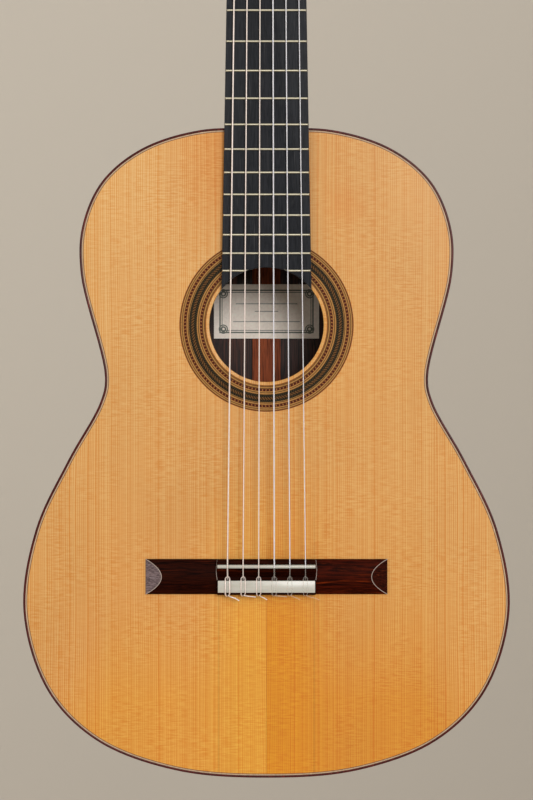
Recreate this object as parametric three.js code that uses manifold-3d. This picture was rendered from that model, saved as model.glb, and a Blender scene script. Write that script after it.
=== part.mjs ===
// A classical guitar with a 650 mm string length, in millimetres.
// It hangs upright: +Z runs up the neck, the soundboard faces -Y and the bass side is at -X.
// Everything is laid out from the tail of the body (z 0) and the face of the soundboard (y 0), and the
// whole guitar is then moved so that the seat of a wall hanger, under the head, is the origin.
import * as THREE from "three";
import { mergeVertices } from "three/addons/utils/BufferGeometryUtils.js";
import Module from "manifold-3d";

const wasm = await Module();
wasm.setup();

// ---- Driving dimensions -------------------------------------------------------------------------

const GLUE_GAP = 0.3; // left between pieces that are glued or rest on each other

const SCALE_LENGTH = 650; // nut to saddle
const BODY_LENGTH = 482;
const TWELFTH_FRET_Z = BODY_LENGTH + 2.2; // the twelfth fret stands just clear of the body
const NUT_Z = TWELFTH_FRET_Z + SCALE_LENGTH / 2;
const SADDLE_SETBACK = 1.6; // extra string length at the saddle
const SADDLE_Z = TWELFTH_FRET_Z - SCALE_LENGTH / 2 - SADDLE_SETBACK;

// Half of the body's outline from the tail to the neck, as [half width, height].
const HALF_OUTLINE = [
  [0, 0], [67.5, 5.5], [126, 27.5], [162.5, 64.5], [180.5, 123.5], [171.5, 184], [147.5, 235.5], [123.5, 279],
  [120, 297.5], [138, 374.5], [137, 409], [122.5, 442.5], [93, 467], [49, 481], [0, 482],
];
const OUTLINE_STEPS = 3; // straight pieces between two outline points

const SOUNDBOARD_THICKNESS = 2.5;
const BACK_THICKNESS = 2.6;
const SIDE_THICKNESS = 2.2;
const BINDING_WIDTH = 2;
const BINDING_HEIGHT = 5;
const DEPTH_AT_TAIL = 99;
const DEPTH_AT_NECK = 92;
const BACK_LENGTHWISE_ARCH = 2.5;
const BACK_ACROSS_RADIUS = 4200;

const SOUNDHOLE_Z = 336.4;
const SOUNDHOLE_RADIUS = 42.5;
const ROSETTE_INNER_RADIUS = 45;
const ROSETTE_OUTER_RADIUS = 64.6;
const ROSETTE_DEPTH = 1.2;

const LINING_WIDTH = 6;
const LINING_HEIGHT = 12;

const FINGERBOARD_THICKNESS = 6;
const WIDTH_AT_NUT = 51;
const WIDTH_AT_BODY = 61.8;
const FRET_COUNT = 19;
const FRET_WIDTH = 2;
const FRET_CROWN = 0.95;
const NUT_LENGTH = 5;

const NECK_DEPTH_AT_NUT = 15.5;
const NECK_DEPTH_AT_HEEL = 18;
const HEEL_TOP_Z = 545; // where the heel's curve runs out into the neck
const HEEL_CAP_Z = 501; // where the heel's curve starts, at the cap
const HEEL_DEPTH = 100;
const HEEL_BASE_Z = BODY_LENGTH + 0.8;
const HEEL_CAP_THICKNESS = 3;

const HEAD_ANGLE = THREE.MathUtils.degToRad(11);
const HEAD_LENGTH = 184;
const HEAD_HALF_WIDTH = 36;
const HEAD_THICKNESS = 18;
const VENEER_THICKNESS = 2;
const SLOT_INNER_X = 9;
const SLOT_OUTER_X = 27;
const SLOT_START = 22;
const SLOT_END = 133;

const ROLLER_STATIONS = [47, 82, 117]; // up the head from the nut
const ROLLER_Y = 9; // behind the head's wooden face
const ROLLER_RADIUS = 4.75;
const ROLLER_INNER_END = 3;
const ROLLER_SHOULDER = 35.6;
const PLATE_THICKNESS = 1.2;
const GEAR_TEETH = 14;
const GEAR_MODULE = 0.8;
const GEAR_WIDTH = 2.8;
const ADDENDUM = 0.7;
const DEDENDUM = 0.85;
const TOOTH_SHARE = 0.36; // of the pitch, so that the teeth run with backlash
const TOOTH_SLOPE = Math.tan(THREE.MathUtils.degToRad(20));
const WORM_PITCH_RADIUS = 2.3;
const BUTTON_START = 22.3; // behind the head's wooden face, so clear of its back
const BUTTON_LENGTH = 17;

const BRIDGE_HALF_LENGTH = 89.6;
const BRIDGE_FRONT = 4.9; // beyond the saddle's middle, towards the neck
const BRIDGE_REAR = 21.1; // the other way
const TIE_BLOCK_HALF_LENGTH = 36.7;
const TIE_BLOCK_HEIGHT = 8;
const TIE_BLOCK_WIDTH = 10.8;
const TIE_HOLE_HEIGHT = 5;
const BONE_THICKNESS = 1.2;
const SADDLE_THICKNESS = 2.6;
const SADDLE_TOP = 11.3;

const STRING_SPACING_AT_NUT = 8.5;
const STRING_SPACING_AT_SADDLE = 11.5;
const NUT_GROOVE_HEIGHT = 7.2;

// From the sixth string, the lowest, to the first.
const STRINGS = [
  { number: 6, radius: 0.55, station: 0, windingX: -22.5 },
  { number: 5, radius: 0.45, station: 1, windingX: -18.5 },
  { number: 4, radius: 0.4, station: 2, windingX: -15 },
  { number: 3, radius: 0.52, station: 2, windingX: 15 },
  { number: 2, radius: 0.42, station: 1, windingX: 18.5 },
  { number: 1, radius: 0.36, station: 0, windingX: 22.5 },
];

const HANGER_SEAT = new THREE.Vector3(0, 10, NUT_Z + NUT_LENGTH);

// ---- Materials ----------------------------------------------------------------------------------

const material = (color, roughness, metalness = 0) =>
  new THREE.MeshStandardMaterial({ color, roughness, metalness });

const spruce = material("#dca45c", 0.4);
const rosewood = material("#3a1a12", 0.35);
const cedar = material("#9a5a34", 0.45);
const ebony = material("#24252a", 0.4);
const marquetry = material("#7d6038", 0.4);
const bone = material("#e9e4d6", 0.35);
const paper = material("#cfc6b4", 0.9);
const brass = material("#c9a45c", 0.3, 1);
const rollerPlastic = material("#efe9dc", 0.35);
const pearloid = material("#e6dfcc", 0.25);
const nylon = material("#d9d9dc", 0.25);
const silverWound = material("#cfc8c2", 0.35, 1);

// ---- Solids -------------------------------------------------------------------------------------

// A closed geometry as a solid that can be cut and joined.
function solidOf(geometry) {
  const bare = geometry.clone();
  bare.deleteAttribute("normal");
  bare.deleteAttribute("uv");
  const merged = mergeVertices(bare, 1e-4);
  return new wasm.Manifold(
    new wasm.Mesh({
      numProp: 3,
      vertProperties: new Float32Array(merged.attributes.position.array),
      triVerts: new Uint32Array(merged.index.array),
    }),
  );
}

function geometryOf(solid) {
  const mesh = solid.getMesh();
  const positions = new Float32Array(mesh.vertProperties);
  const geometry = new THREE.BufferGeometry();
  geometry.setAttribute("position", new THREE.BufferAttribute(positions, 3));
  geometry.setIndex(new THREE.BufferAttribute(new Uint32Array(mesh.triVerts), 1));
  geometry.computeVertexNormals();
  return geometry;
}

function piece(name, solid, look) {
  const mesh = new THREE.Mesh(geometryOf(solid), look);
  mesh.name = name;
  return mesh;
}

const joined = (solids) => solids.reduce((all, next) => all.add(next));

// A box from its lowest to its highest corner.
function box([x0, y0, z0], [x1, y1, z1]) {
  const geometry = new THREE.BoxGeometry(x1 - x0, y1 - y0, z1 - z0);
  return solidOf(geometry.translate((x0 + x1) / 2, (y0 + y1) / 2, (z0 + z1) / 2));
}

// A shape drawn as [x, z] and extruded backwards from y0 to y1.
function slab(shape, y0, y1, curveSegments = 8) {
  const geometry = new THREE.ExtrudeGeometry(shape, { depth: y1 - y0, bevelEnabled: false, curveSegments });
  return solidOf(geometry.rotateX(Math.PI / 2).translate(0, y1, 0));
}

// A profile drawn as [y, z] and extruded across from x0 to x1.
function crossSection(points, x0, x1) {
  const shape = new THREE.Shape(points.map(([y, z]) => new THREE.Vector2(y, z)));
  const geometry = new THREE.ExtrudeGeometry(shape, { depth: x1 - x0, bevelEnabled: false });
  geometry.applyMatrix4(new THREE.Matrix4().set(0, 0, 1, x0, 1, 0, 0, 0, 0, 1, 0, 0, 0, 0, 0, 1));
  return solidOf(geometry);
}

// A cylinder about a line along X, Y or Z through a point, from one place on that axis to another.
function rod(axis, [x, y, z], from, to, radius, segments = 12) {
  const geometry = new THREE.CylinderGeometry(radius, radius, to - from, segments);
  const middle = (from + to) / 2;
  if (axis === "x") geometry.rotateZ(-Math.PI / 2).translate(middle, y, z);
  if (axis === "y") geometry.translate(x, middle, z);
  if (axis === "z") geometry.rotateX(Math.PI / 2).translate(x, y, middle);
  return solidOf(geometry);
}

// A section drawn once and extruded through a row of stations, each of which places its own points.
function lofted(section, stations, place) {
  const steps = stations.length - 1;
  const geometry = new THREE.ExtrudeGeometry(section, { depth: 1, steps, bevelEnabled: false });
  const positions = geometry.attributes.position;
  for (let i = 0; i < positions.count; i++) {
    const station = stations[Math.round(positions.getZ(i) * steps)];
    positions.setXYZ(i, ...place(positions.getX(i), positions.getY(i), station));
  }
  return solidOf(geometry);
}

// ---- The body's outline and its arched back -----------------------------------------------------

// The outline's points with their outward directions, all the way round from the tail up the treble side.
function bodyOutline() {
  const treble = HALF_OUTLINE.map(([x, z]) => new THREE.Vector3(x, 0, z));
  const bass = HALF_OUTLINE.slice(1, -1).reverse().map(([x, z]) => new THREE.Vector3(-x, 0, z));
  const curve = new THREE.CatmullRomCurve3([...treble, ...bass], true, "centripetal");
  const count = OUTLINE_STEPS * (treble.length + bass.length);
  return Array.from({ length: count }, (_, i) => {
    const point = curve.getPoint(i / count);
    const along = curve.getTangent(i / count);
    return { x: point.x, z: point.z, outX: along.z, outZ: -along.x };
  });
}

const OUTLINE = bodyOutline();

// The outline moved inwards by an inset.
function insetOutline(inset) {
  return OUTLINE.map((p) => new THREE.Vector2(p.x - p.outX * inset, p.z - p.outZ * inset));
}

const insetShape = (inset) => new THREE.Shape(insetOutline(inset));

// A ring between two insets of the outline.
function outlineRing(outerInset, innerInset, y0, y1) {
  const shape = insetShape(outerInset);
  shape.holes.push(new THREE.Path(insetOutline(innerInset)));
  return slab(shape, y0, y1);
}

// How far behind the soundboard's face the outside of the back lies.
function backY(x, z) {
  const share = z / BODY_LENGTH;
  const taper = THREE.MathUtils.lerp(DEPTH_AT_TAIL, DEPTH_AT_NECK, share);
  return taper + BACK_LENGTHWISE_ARCH * 4 * share * (1 - share) - (x * x) / (2 * BACK_ACROSS_RADIUS);
}

// A sheet that follows the back, between two distances in front of its outside.
function arched(front, rear, [x0, x1] = [-200, 200], [z0, z1] = [-10, 500], across = 8, along = 8) {
  const geometry = new THREE.BoxGeometry(x1 - x0, 2, z1 - z0, across, 1, along);
  geometry.translate((x0 + x1) / 2, 0, (z0 + z1) / 2);
  const positions = geometry.attributes.position;
  for (let i = 0; i < positions.count; i++) {
    const inFront = positions.getY(i) < 0 ? front : rear;
    const y = backY(positions.getX(i), positions.getZ(i)) - inFront;
    positions.setY(i, Math.max(y, -20));
  }
  return solidOf(geometry);
}

const halfWidthOfNeck = (z) => {
  const perMillimetre = (WIDTH_AT_BODY - WIDTH_AT_NUT) / (NUT_Z - TWELFTH_FRET_Z) / 2;
  return WIDTH_AT_NUT / 2 + (NUT_Z - z) * perMillimetre;
};

// The half of space on one side of the centre seam.
function halfSpace(side) {
  const near = GLUE_GAP / 2;
  return side < 0 ? box([-250, -50, -50], [-near, 200, 600]) : box([near, -50, -50], [250, 200, 600]);
}

// ---- Soundboard and rosette ---------------------------------------------------------------------

function soundboardHalf(side) {
  const centre = [0, 0, SOUNDHOLE_Z];
  const recessFloor = ROSETTE_DEPTH + GLUE_GAP;
  const recess = rod("y", centre, -1, recessFloor, ROSETTE_OUTER_RADIUS + GLUE_GAP, 48)
    .subtract(rod("y", centre, -2, recessFloor + 1, ROSETTE_INNER_RADIUS - GLUE_GAP, 48));
  return slab(insetShape(BINDING_WIDTH + GLUE_GAP), 0, SOUNDBOARD_THICKNESS)
    .subtract(rod("y", centre, -5, 10, SOUNDHOLE_RADIUS, 48))
    .subtract(recess)
    .intersect(halfSpace(side));
}

function rosette() {
  const centre = [0, 0, SOUNDHOLE_Z];
  return rod("y", centre, 0, ROSETTE_DEPTH, ROSETTE_OUTER_RADIUS, 48)
    .subtract(rod("y", centre, -1, ROSETTE_DEPTH + 1, ROSETTE_INNER_RADIUS, 48));
}

function soundholeDoubler() {
  const front = SOUNDBOARD_THICKNESS + GLUE_GAP;
  const centre = [0, 0, SOUNDHOLE_Z];
  return rod("y", centre, front, front + 1.5, SOUNDHOLE_RADIUS + 11, 32)
    .subtract(rod("y", centre, front - 1, front + 3, SOUNDHOLE_RADIUS, 32));
}

// ---- Bracing ------------------------------------------------------------------------------------

const UPPER_BAR_Z = 398;
const LOWER_BAR_Z = 276;
const BAR_HEIGHT = 16;
const BAR_WIDTH = 7;

// A bar across the inside of the soundboard, scalloped down to its ends, which butt against the lining.
function harmonicBar(z, halfLength) {
  const front = SOUNDBOARD_THICKNESS + GLUE_GAP;
  const shape = new THREE.Shape();
  shape.moveTo(-halfLength, front);
  shape.lineTo(halfLength, front);
  shape.lineTo(halfLength, front + 4);
  shape.lineTo(halfLength * 0.7, front + BAR_HEIGHT);
  shape.lineTo(-halfLength * 0.7, front + BAR_HEIGHT);
  shape.lineTo(-halfLength, front + 4);
  const geometry = new THREE.ExtrudeGeometry(shape, { depth: BAR_WIDTH, bevelEnabled: false });
  return solidOf(geometry.translate(0, 0, z - BAR_WIDTH / 2))
    .intersect(slab(insetShape(SIDE_THICKNESS + LINING_WIDTH + 2 * GLUE_GAP), 0, 50));
}

// Seven thin struts that fan out under the lower bout, let into one bar that crosses under the bridge.
function fanBracing() {
  const front = SOUNDBOARD_THICKNESS + GLUE_GAP;
  const strutHeight = 4.5;
  const strutWidth = 5;
  const topZ = LOWER_BAR_Z - BAR_WIDTH / 2 - 2;
  const struts = [-3, -2, -1, 0, 1, 2, 3].map((n) => {
    const topX = n * 15;
    const footX = n * 37;
    const footZ = 42 + Math.abs(n) * 6;
    const half = strutWidth / 2;
    const shape = new THREE.Shape([
      new THREE.Vector2(footX - half, footZ),
      new THREE.Vector2(footX + half, footZ),
      new THREE.Vector2(topX + half, topZ),
      new THREE.Vector2(topX - half, topZ),
    ]);
    return slab(shape, front, front + strutHeight);
  });
  const crossBar = box([-128, front, SADDLE_Z - 14], [128, front + strutHeight + 1, SADDLE_Z - 4]);
  return joined([...struts, crossBar]);
}

// Three bars across the back and the strip that covers its seam, which meet at the bars' feet.
function backBracing() {
  const rear = BACK_THICKNESS + GLUE_GAP;
  const strip = arched(rear + 2, rear, [-11, 11], [24, 438], 2, 8);
  const bars = [[150, 155], [286, 105], [412, 110]].map(([z, halfLength]) =>
    arched(rear + 14, rear, [-halfLength, halfLength], [z - 4, z + 4], 4, 1),
  );
  return joined([strip, ...bars]);
}

// ---- Back, sides, bindings and linings ----------------------------------------------------------

function backHalf(side) {
  return arched(BACK_THICKNESS, 0)
    .intersect(slab(insetShape(BINDING_WIDTH + GLUE_GAP), 50, 150))
    .intersect(halfSpace(side));
}

const NECK_WEB_HALF_WIDTH = 10;
const GRAFT_HALF_WIDTH = 4;

// The bent sides, before they are parted at the tail and the neck.
function ribs() {
  const front = BINDING_HEIGHT + GLUE_GAP;
  return outlineRing(0, SIDE_THICKNESS, front, 150).intersect(arched(200, front));
}

function side(sign) {
  const graft = GRAFT_HALF_WIDTH + GLUE_GAP;
  const web = NECK_WEB_HALF_WIDTH + GLUE_GAP;
  return ribs()
    .subtract(box([-graft, -10, -10], [graft, 150, 60]))
    .subtract(box([-web, -10, BODY_LENGTH - 60], [web, 150, BODY_LENGTH + 20]))
    .intersect(halfSpace(sign));
}

function endGraft() {
  return ribs().intersect(box([-GRAFT_HALF_WIDTH, -10, -10], [GRAFT_HALF_WIDTH, 150, 60]));
}

// The opening that the neck and heel leave in both bindings and both linings.
const neckOpening = (halfWidth) => box([-halfWidth, -10, BODY_LENGTH - 60], [halfWidth, 150, BODY_LENGTH + 20]);

function topBinding() {
  const gap = halfWidthOfNeck(BODY_LENGTH) + GLUE_GAP;
  return outlineRing(0, BINDING_WIDTH, 0, BINDING_HEIGHT).subtract(neckOpening(gap));
}

function backBinding() {
  return outlineRing(0, BINDING_WIDTH, 50, 150)
    .intersect(arched(BINDING_HEIGHT, 0))
    .subtract(neckOpening(NECK_WEB_HALF_WIDTH + GLUE_GAP));
}

const FOOT_HALF_WIDTH = 42;

function topLining() {
  const outer = SIDE_THICKNESS + GLUE_GAP;
  const front = SOUNDBOARD_THICKNESS + GLUE_GAP;
  return outlineRing(outer, outer + LINING_WIDTH, front, front + LINING_HEIGHT)
    .subtract(neckOpening(FOOT_HALF_WIDTH + GLUE_GAP));
}

function backLining() {
  const outer = SIDE_THICKNESS + GLUE_GAP;
  const rear = BACK_THICKNESS + GLUE_GAP;
  return outlineRing(outer, outer + LINING_WIDTH, 50, 150)
    .intersect(arched(rear + LINING_HEIGHT, rear))
    .subtract(neckOpening(FOOT_HALF_WIDTH + GLUE_GAP));
}

// The block at the tail stands between the two linings, against the sides.
function tailBlock() {
  const clear = LINING_HEIGHT + 2 * GLUE_GAP;
  return slab(insetShape(SIDE_THICKNESS + GLUE_GAP), SOUNDBOARD_THICKNESS + clear, 150)
    .intersect(box([-35, 0, -5], [35, 150, 18]))
    .intersect(arched(200, BACK_THICKNESS + clear));
}

function label() {
  const onStrip = BACK_THICKNESS + GLUE_GAP + 2 + GLUE_GAP;
  return arched(onStrip + 0.4, onStrip, [-41.5, 41.5], [328, 371.6], 2, 1);
}

// ---- Neck, heel and head ------------------------------------------------------------------------

// Half of a round section, as wide as the neck at the front, drawn out to each station's own depth.
function neckLoft(stations) {
  const section = new THREE.Shape();
  section.absarc(0, 0, 1, 0, Math.PI, false);
  return lofted(new THREE.Shape(section.getPoints(5)), stations, (cos, sin, { z, depth, narrowing }) => [
    halfWidthOfNeck(z) * Math.sign(cos) * Math.abs(cos) ** narrowing,
    depth * Math.max(sin, 0) ** 0.87,
    z,
  ]);
}

// The heel: straight up from the body as far as its cap, then a quarter ellipse out to the neck.
function heelStations() {
  const stations = [{ z: HEEL_BASE_Z, depth: HEEL_DEPTH, narrowing: 1.35 }];
  const steps = 7;
  for (let i = 0; i <= steps; i++) {
    const turn = (i / steps) * (Math.PI / 2);
    stations.push({
      z: HEEL_TOP_Z - (HEEL_TOP_Z - HEEL_CAP_Z) * Math.cos(turn),
      depth: HEEL_DEPTH - (HEEL_DEPTH - NECK_DEPTH_AT_HEEL) * Math.sin(turn),
      narrowing: 1.35 - 0.35 * Math.sin(turn),
    });
  }
  return stations;
}

const HEAD_TILT = new THREE.Matrix4()
  .makeTranslation(0, 0, NUT_Z + NUT_LENGTH)
  .multiply(new THREE.Matrix4().makeRotationX(-HEAD_ANGLE));

// The neck with its heel outside the body, and the block and foot that hold it inside.
function neck() {
  const beyondHead = solidOf(
    new THREE.BoxGeometry(200, 200, 100).translate(0, 0, 50 - GLUE_GAP).applyMatrix4(HEAD_TILT),
  );
  const capFront = backY(0, BODY_LENGTH) - HEEL_CAP_THICKNESS - GLUE_GAP;
  const shaft = neckLoft([
    ...heelStations(),
    { z: NUT_Z - 24, depth: NECK_DEPTH_AT_NUT, narrowing: 0.9 },
    { z: NUT_Z + 12, depth: HEAD_THICKNESS, narrowing: 0.6 },
  ])
    .subtract(beyondHead)
    .subtract(box([-100, capFront, 400], [100, 200, 600]));
  const front = SOUNDBOARD_THICKNESS + GLUE_GAP;
  const insideZ = BODY_LENGTH - SIDE_THICKNESS;
  const web = box(
    [-NECK_WEB_HALF_WIDTH, front, insideZ - 5],
    [NECK_WEB_HALF_WIDTH, capFront - BINDING_HEIGHT, HEEL_BASE_Z + 5],
  );
  const block = box([-30, front, 455], [30, 120, insideZ]).intersect(arched(200, BACK_THICKNESS + GLUE_GAP));
  const foot = box([-FOOT_HALF_WIDTH, front, 434], [FOOT_HALF_WIDTH, front + 8, insideZ]);
  const inBody = block.add(foot).intersect(slab(insetShape(SIDE_THICKNESS + GLUE_GAP), 0, 120));
  return joined([shaft, web, inBody]);
}

// A thin cap that closes the heel's end, level with the back.
function heelCap() {
  const rear = backY(0, BODY_LENGTH);
  return neckLoft(heelStations().slice(0, 3))
    .intersect(box([-60, rear - HEEL_CAP_THICKNESS, 400], [60, rear, 600]));
}

// The head's outline in its own tilted frame, with the two string slots.
function headShape() {
  const neckHalf = WIDTH_AT_NUT / 2 - 0.3;
  const shape = new THREE.Shape();
  shape.moveTo(-neckHalf, 0);
  shape.lineTo(neckHalf, 0);
  shape.bezierCurveTo(neckHalf + 1, 9, HEAD_HALF_WIDTH, 7, HEAD_HALF_WIDTH, 19);
  shape.lineTo(HEAD_HALF_WIDTH, HEAD_LENGTH - 26);
  shape.quadraticCurveTo(HEAD_HALF_WIDTH - 1, HEAD_LENGTH - 14, HEAD_HALF_WIDTH - 9, HEAD_LENGTH - 11);
  shape.bezierCurveTo(18, HEAD_LENGTH - 8, 12, HEAD_LENGTH, 0, HEAD_LENGTH);
  shape.bezierCurveTo(-12, HEAD_LENGTH, -18, HEAD_LENGTH - 8, 9 - HEAD_HALF_WIDTH, HEAD_LENGTH - 11);
  shape.quadraticCurveTo(1 - HEAD_HALF_WIDTH, HEAD_LENGTH - 14, -HEAD_HALF_WIDTH, HEAD_LENGTH - 26);
  shape.lineTo(-HEAD_HALF_WIDTH, 19);
  shape.bezierCurveTo(-HEAD_HALF_WIDTH, 7, -neckHalf - 1, 9, -neckHalf, 0);
  const middle = (SLOT_INNER_X + SLOT_OUTER_X) / 2;
  const radius = (SLOT_OUTER_X - SLOT_INNER_X) / 2;
  for (const sign of [-1, 1]) {
    const slot = new THREE.Path();
    slot.absarc(sign * middle, SLOT_END - radius, radius, 0, Math.PI, false);
    slot.absarc(sign * middle, SLOT_START + radius, radius, Math.PI, 2 * Math.PI, false);
    shape.holes.push(slot);
  }
  return shape;
}

// Ramps that let the strings dip from the nut into the slots.
function stringRamps() {
  const profile = [[-6, 11], [-VENEER_THICKNESS - 0.2, 11], [3, 25], [3, 33], [-6, 33]];
  const innerX = SLOT_INNER_X + 2;
  const outerX = SLOT_OUTER_X - 1;
  return crossSection(profile, innerX, outerX).add(crossSection(profile, -outerX, -innerX));
}

function headstock() {
  let solid = slab(headShape(), 0, HEAD_THICKNESS, 6).subtract(stringRamps());
  const boreRadius = ROLLER_RADIUS + 0.45;
  for (const z of ROLLER_STATIONS) {
    for (const [from, to] of [[ROLLER_INNER_END - 0.6, 50], [-50, 0.6 - ROLLER_INNER_END]]) {
      solid = solid.subtract(rod("x", [0, ROLLER_Y, z], from, to, boreRadius, 12));
    }
  }
  return solid;
}

function headVeneer() {
  return slab(headShape(), -VENEER_THICKNESS, -GLUE_GAP, 6).subtract(stringRamps());
}

// ---- Fingerboard and nut ------------------------------------------------------------------------

const fretZ = (number) => NUT_Z - SCALE_LENGTH * (1 - 2 ** (-number / 12));

// The ebony board with its frets, cut round the soundhole and tapered with the neck.
function fingerboard() {
  const top = -FINGERBOARD_THICKNESS;
  const bottomZ = SOUNDHOLE_Z;
  const profile = [[-GLUE_GAP, bottomZ], [-GLUE_GAP, NUT_Z - GLUE_GAP], [top, NUT_Z - GLUE_GAP]];
  for (let number = 1; number <= FRET_COUNT; number++) {
    const z = fretZ(number);
    profile.push([top, z + FRET_WIDTH / 2], [top - FRET_CROWN, z + FRET_WIDTH / 4]);
    profile.push([top - FRET_CROWN, z - FRET_WIDTH / 4], [top, z - FRET_WIDTH / 2]);
  }
  profile.push([top, bottomZ]);
  const low = halfWidthOfNeck(bottomZ);
  const high = halfWidthOfNeck(NUT_Z);
  const plan = new THREE.Shape([
    new THREE.Vector2(-low, bottomZ),
    new THREE.Vector2(low, bottomZ),
    new THREE.Vector2(high, NUT_Z),
    new THREE.Vector2(-high, NUT_Z),
  ]);
  return crossSection(profile, -50, 50)
    .intersect(slab(plan, -20, 10))
    .subtract(rod("y", [0, 0, SOUNDHOLE_Z], -20, 10, SOUNDHOLE_RADIUS, 48));
}

const stringX = (index, spacing) => (index - (STRINGS.length - 1) / 2) * spacing;

function nut() {
  const profile = [
    [-GLUE_GAP, NUT_Z], [-8.6, NUT_Z], [-8, NUT_Z + NUT_LENGTH - 0.5], [-GLUE_GAP, NUT_Z + NUT_LENGTH - 0.5],
  ];
  let solid = crossSection(profile, -WIDTH_AT_NUT / 2, WIDTH_AT_NUT / 2);
  STRINGS.forEach((string, index) => {
    const x = stringX(index, STRING_SPACING_AT_NUT);
    const half = string.radius + GLUE_GAP;
    solid = solid.subtract(box([x - half, -20, NUT_Z - 5], [x + half, -NUT_GROOVE_HEIGHT, NUT_Z + 10]));
  });
  return solid;
}

// ---- Bridge -------------------------------------------------------------------------------------

const BRIDGE_TOP_Z = SADDLE_Z + BRIDGE_FRONT;
const BRIDGE_BOTTOM_Z = SADDLE_Z - BRIDGE_REAR;
const TIE_BLOCK_FRONT_Z = BRIDGE_BOTTOM_Z + TIE_BLOCK_WIDTH;
const WING_HEIGHT = 4;
const WING_EDGE_HEIGHT = 1.5;
const WING_BEVEL = 12;

// The wings: arched across, and planed down to thin tips.
function bridgeWings() {
  const middle = (BRIDGE_TOP_Z + BRIDGE_BOTTOM_Z) / 2;
  const half = (BRIDGE_TOP_Z - BRIDGE_BOTTOM_Z) / 2;
  const steps = 8;
  const profile = [[-GLUE_GAP, BRIDGE_BOTTOM_Z]];
  for (let i = 0; i <= steps; i++) {
    const share = -1 + (2 * i) / steps;
    const height = WING_HEIGHT - (WING_HEIGHT - WING_EDGE_HEIGHT) * share * share;
    profile.push([-height, middle + share * half]);
  }
  profile.push([-GLUE_GAP, BRIDGE_TOP_Z]);
  const bevelled = new THREE.Shape([
    new THREE.Vector2(-BRIDGE_HALF_LENGTH, 0),
    new THREE.Vector2(-BRIDGE_HALF_LENGTH, -WING_EDGE_HEIGHT),
    new THREE.Vector2(WING_BEVEL - BRIDGE_HALF_LENGTH, -WING_HEIGHT - 0.05),
    new THREE.Vector2(BRIDGE_HALF_LENGTH - WING_BEVEL, -WING_HEIGHT - 0.05),
    new THREE.Vector2(BRIDGE_HALF_LENGTH, -WING_EDGE_HEIGHT),
    new THREE.Vector2(BRIDGE_HALF_LENGTH, 0),
  ]);
  const planed = new THREE.ExtrudeGeometry(bevelled, { depth: 60, bevelEnabled: false });
  return crossSection(profile, -BRIDGE_HALF_LENGTH, BRIDGE_HALF_LENGTH)
    .intersect(solidOf(planed.translate(0, 0, BRIDGE_BOTTOM_Z - 10)));
}

function bridge() {
  const slotFront = SADDLE_Z + SADDLE_THICKNESS / 2 + GLUE_GAP;
  const slotRear = SADDLE_Z - SADDLE_THICKNESS / 2 - GLUE_GAP;
  const wallHeight = 8.8;
  const troughHeight = 2.8;
  const section = [
    [-GLUE_GAP, BRIDGE_BOTTOM_Z],
    [-TIE_BLOCK_HEIGHT, BRIDGE_BOTTOM_Z],
    [-TIE_BLOCK_HEIGHT, TIE_BLOCK_FRONT_Z],
    [-troughHeight, TIE_BLOCK_FRONT_Z],
    [-troughHeight, TIE_BLOCK_FRONT_Z + 2],
    [-wallHeight + 0.6, slotRear - 1.4],
    [-wallHeight, slotRear],
    [-4, slotRear],
    [-4, slotFront],
    [-wallHeight, slotFront],
    [-wallHeight, BRIDGE_TOP_Z - 0.6],
    [-wallHeight + 0.6, BRIDGE_TOP_Z],
    [-GLUE_GAP, BRIDGE_TOP_Z],
  ];
  let solid = bridgeWings().add(crossSection(section, -TIE_BLOCK_HALF_LENGTH, TIE_BLOCK_HALF_LENGTH));
  const bed = [-TIE_BLOCK_HALF_LENGTH + 0.2, -30, TIE_BLOCK_FRONT_Z];
  solid = solid.subtract(box(bed, [TIE_BLOCK_HALF_LENGTH - 0.2, -troughHeight, TIE_BLOCK_FRONT_Z + 2]));
  STRINGS.forEach((string, index) => {
    const hole = [stringX(index, STRING_SPACING_AT_SADDLE), -TIE_HOLE_HEIGHT, 0];
    solid = solid.subtract(
      rod("z", hole, BRIDGE_BOTTOM_Z - 5, TIE_BLOCK_FRONT_Z + 5, string.radius + 0.45, 8),
    );
  });
  return solid;
}

function saddle() {
  const half = SADDLE_THICKNESS / 2;
  const profile = [
    [-4 - GLUE_GAP, SADDLE_Z - half],
    [-SADDLE_TOP + 0.7, SADDLE_Z - half],
    [-SADDLE_TOP, SADDLE_Z - half / 3],
    [-SADDLE_TOP, SADDLE_Z + half / 3],
    [-SADDLE_TOP + 0.7, SADDLE_Z + half],
    [-4 - GLUE_GAP, SADDLE_Z + half],
  ];
  return crossSection(profile, -TIE_BLOCK_HALF_LENGTH + 0.5, TIE_BLOCK_HALF_LENGTH - 0.5);
}

function tieBlockBone() {
  const front = TIE_BLOCK_HEIGHT + GLUE_GAP;
  return box(
    [-TIE_BLOCK_HALF_LENGTH + 0.5, -front - BONE_THICKNESS, BRIDGE_BOTTOM_Z + 1.8],
    [TIE_BLOCK_HALF_LENGTH - 0.5, -front, TIE_BLOCK_FRONT_Z - 0.2],
  );
}

// ---- Strings ------------------------------------------------------------------------------------

// A line through given points, bent at each of them, for a tube to follow one point a step.
class BentLine extends THREE.Curve {
  constructor(points) {
    super();
    this.points = points;
  }

  getPoint(t) {
    const place = t * (this.points.length - 1);
    const index = Math.min(Math.floor(place), this.points.length - 2);
    return this.points[index].clone().lerp(this.points[index + 1], place - index);
  }

  getTangent(t) {
    const index = Math.round(t * (this.points.length - 1));
    const here = this.points[index];
    const before = this.points[Math.max(index - 1, 0)];
    const after = this.points[Math.min(index + 1, this.points.length - 1)];
    const arriving = here.clone().sub(before).normalize();
    const leaving = after.clone().sub(here).normalize();
    return arriving.add(leaving).normalize();
  }

  getUtoTmapping(u) {
    return u;
  }
}

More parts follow.
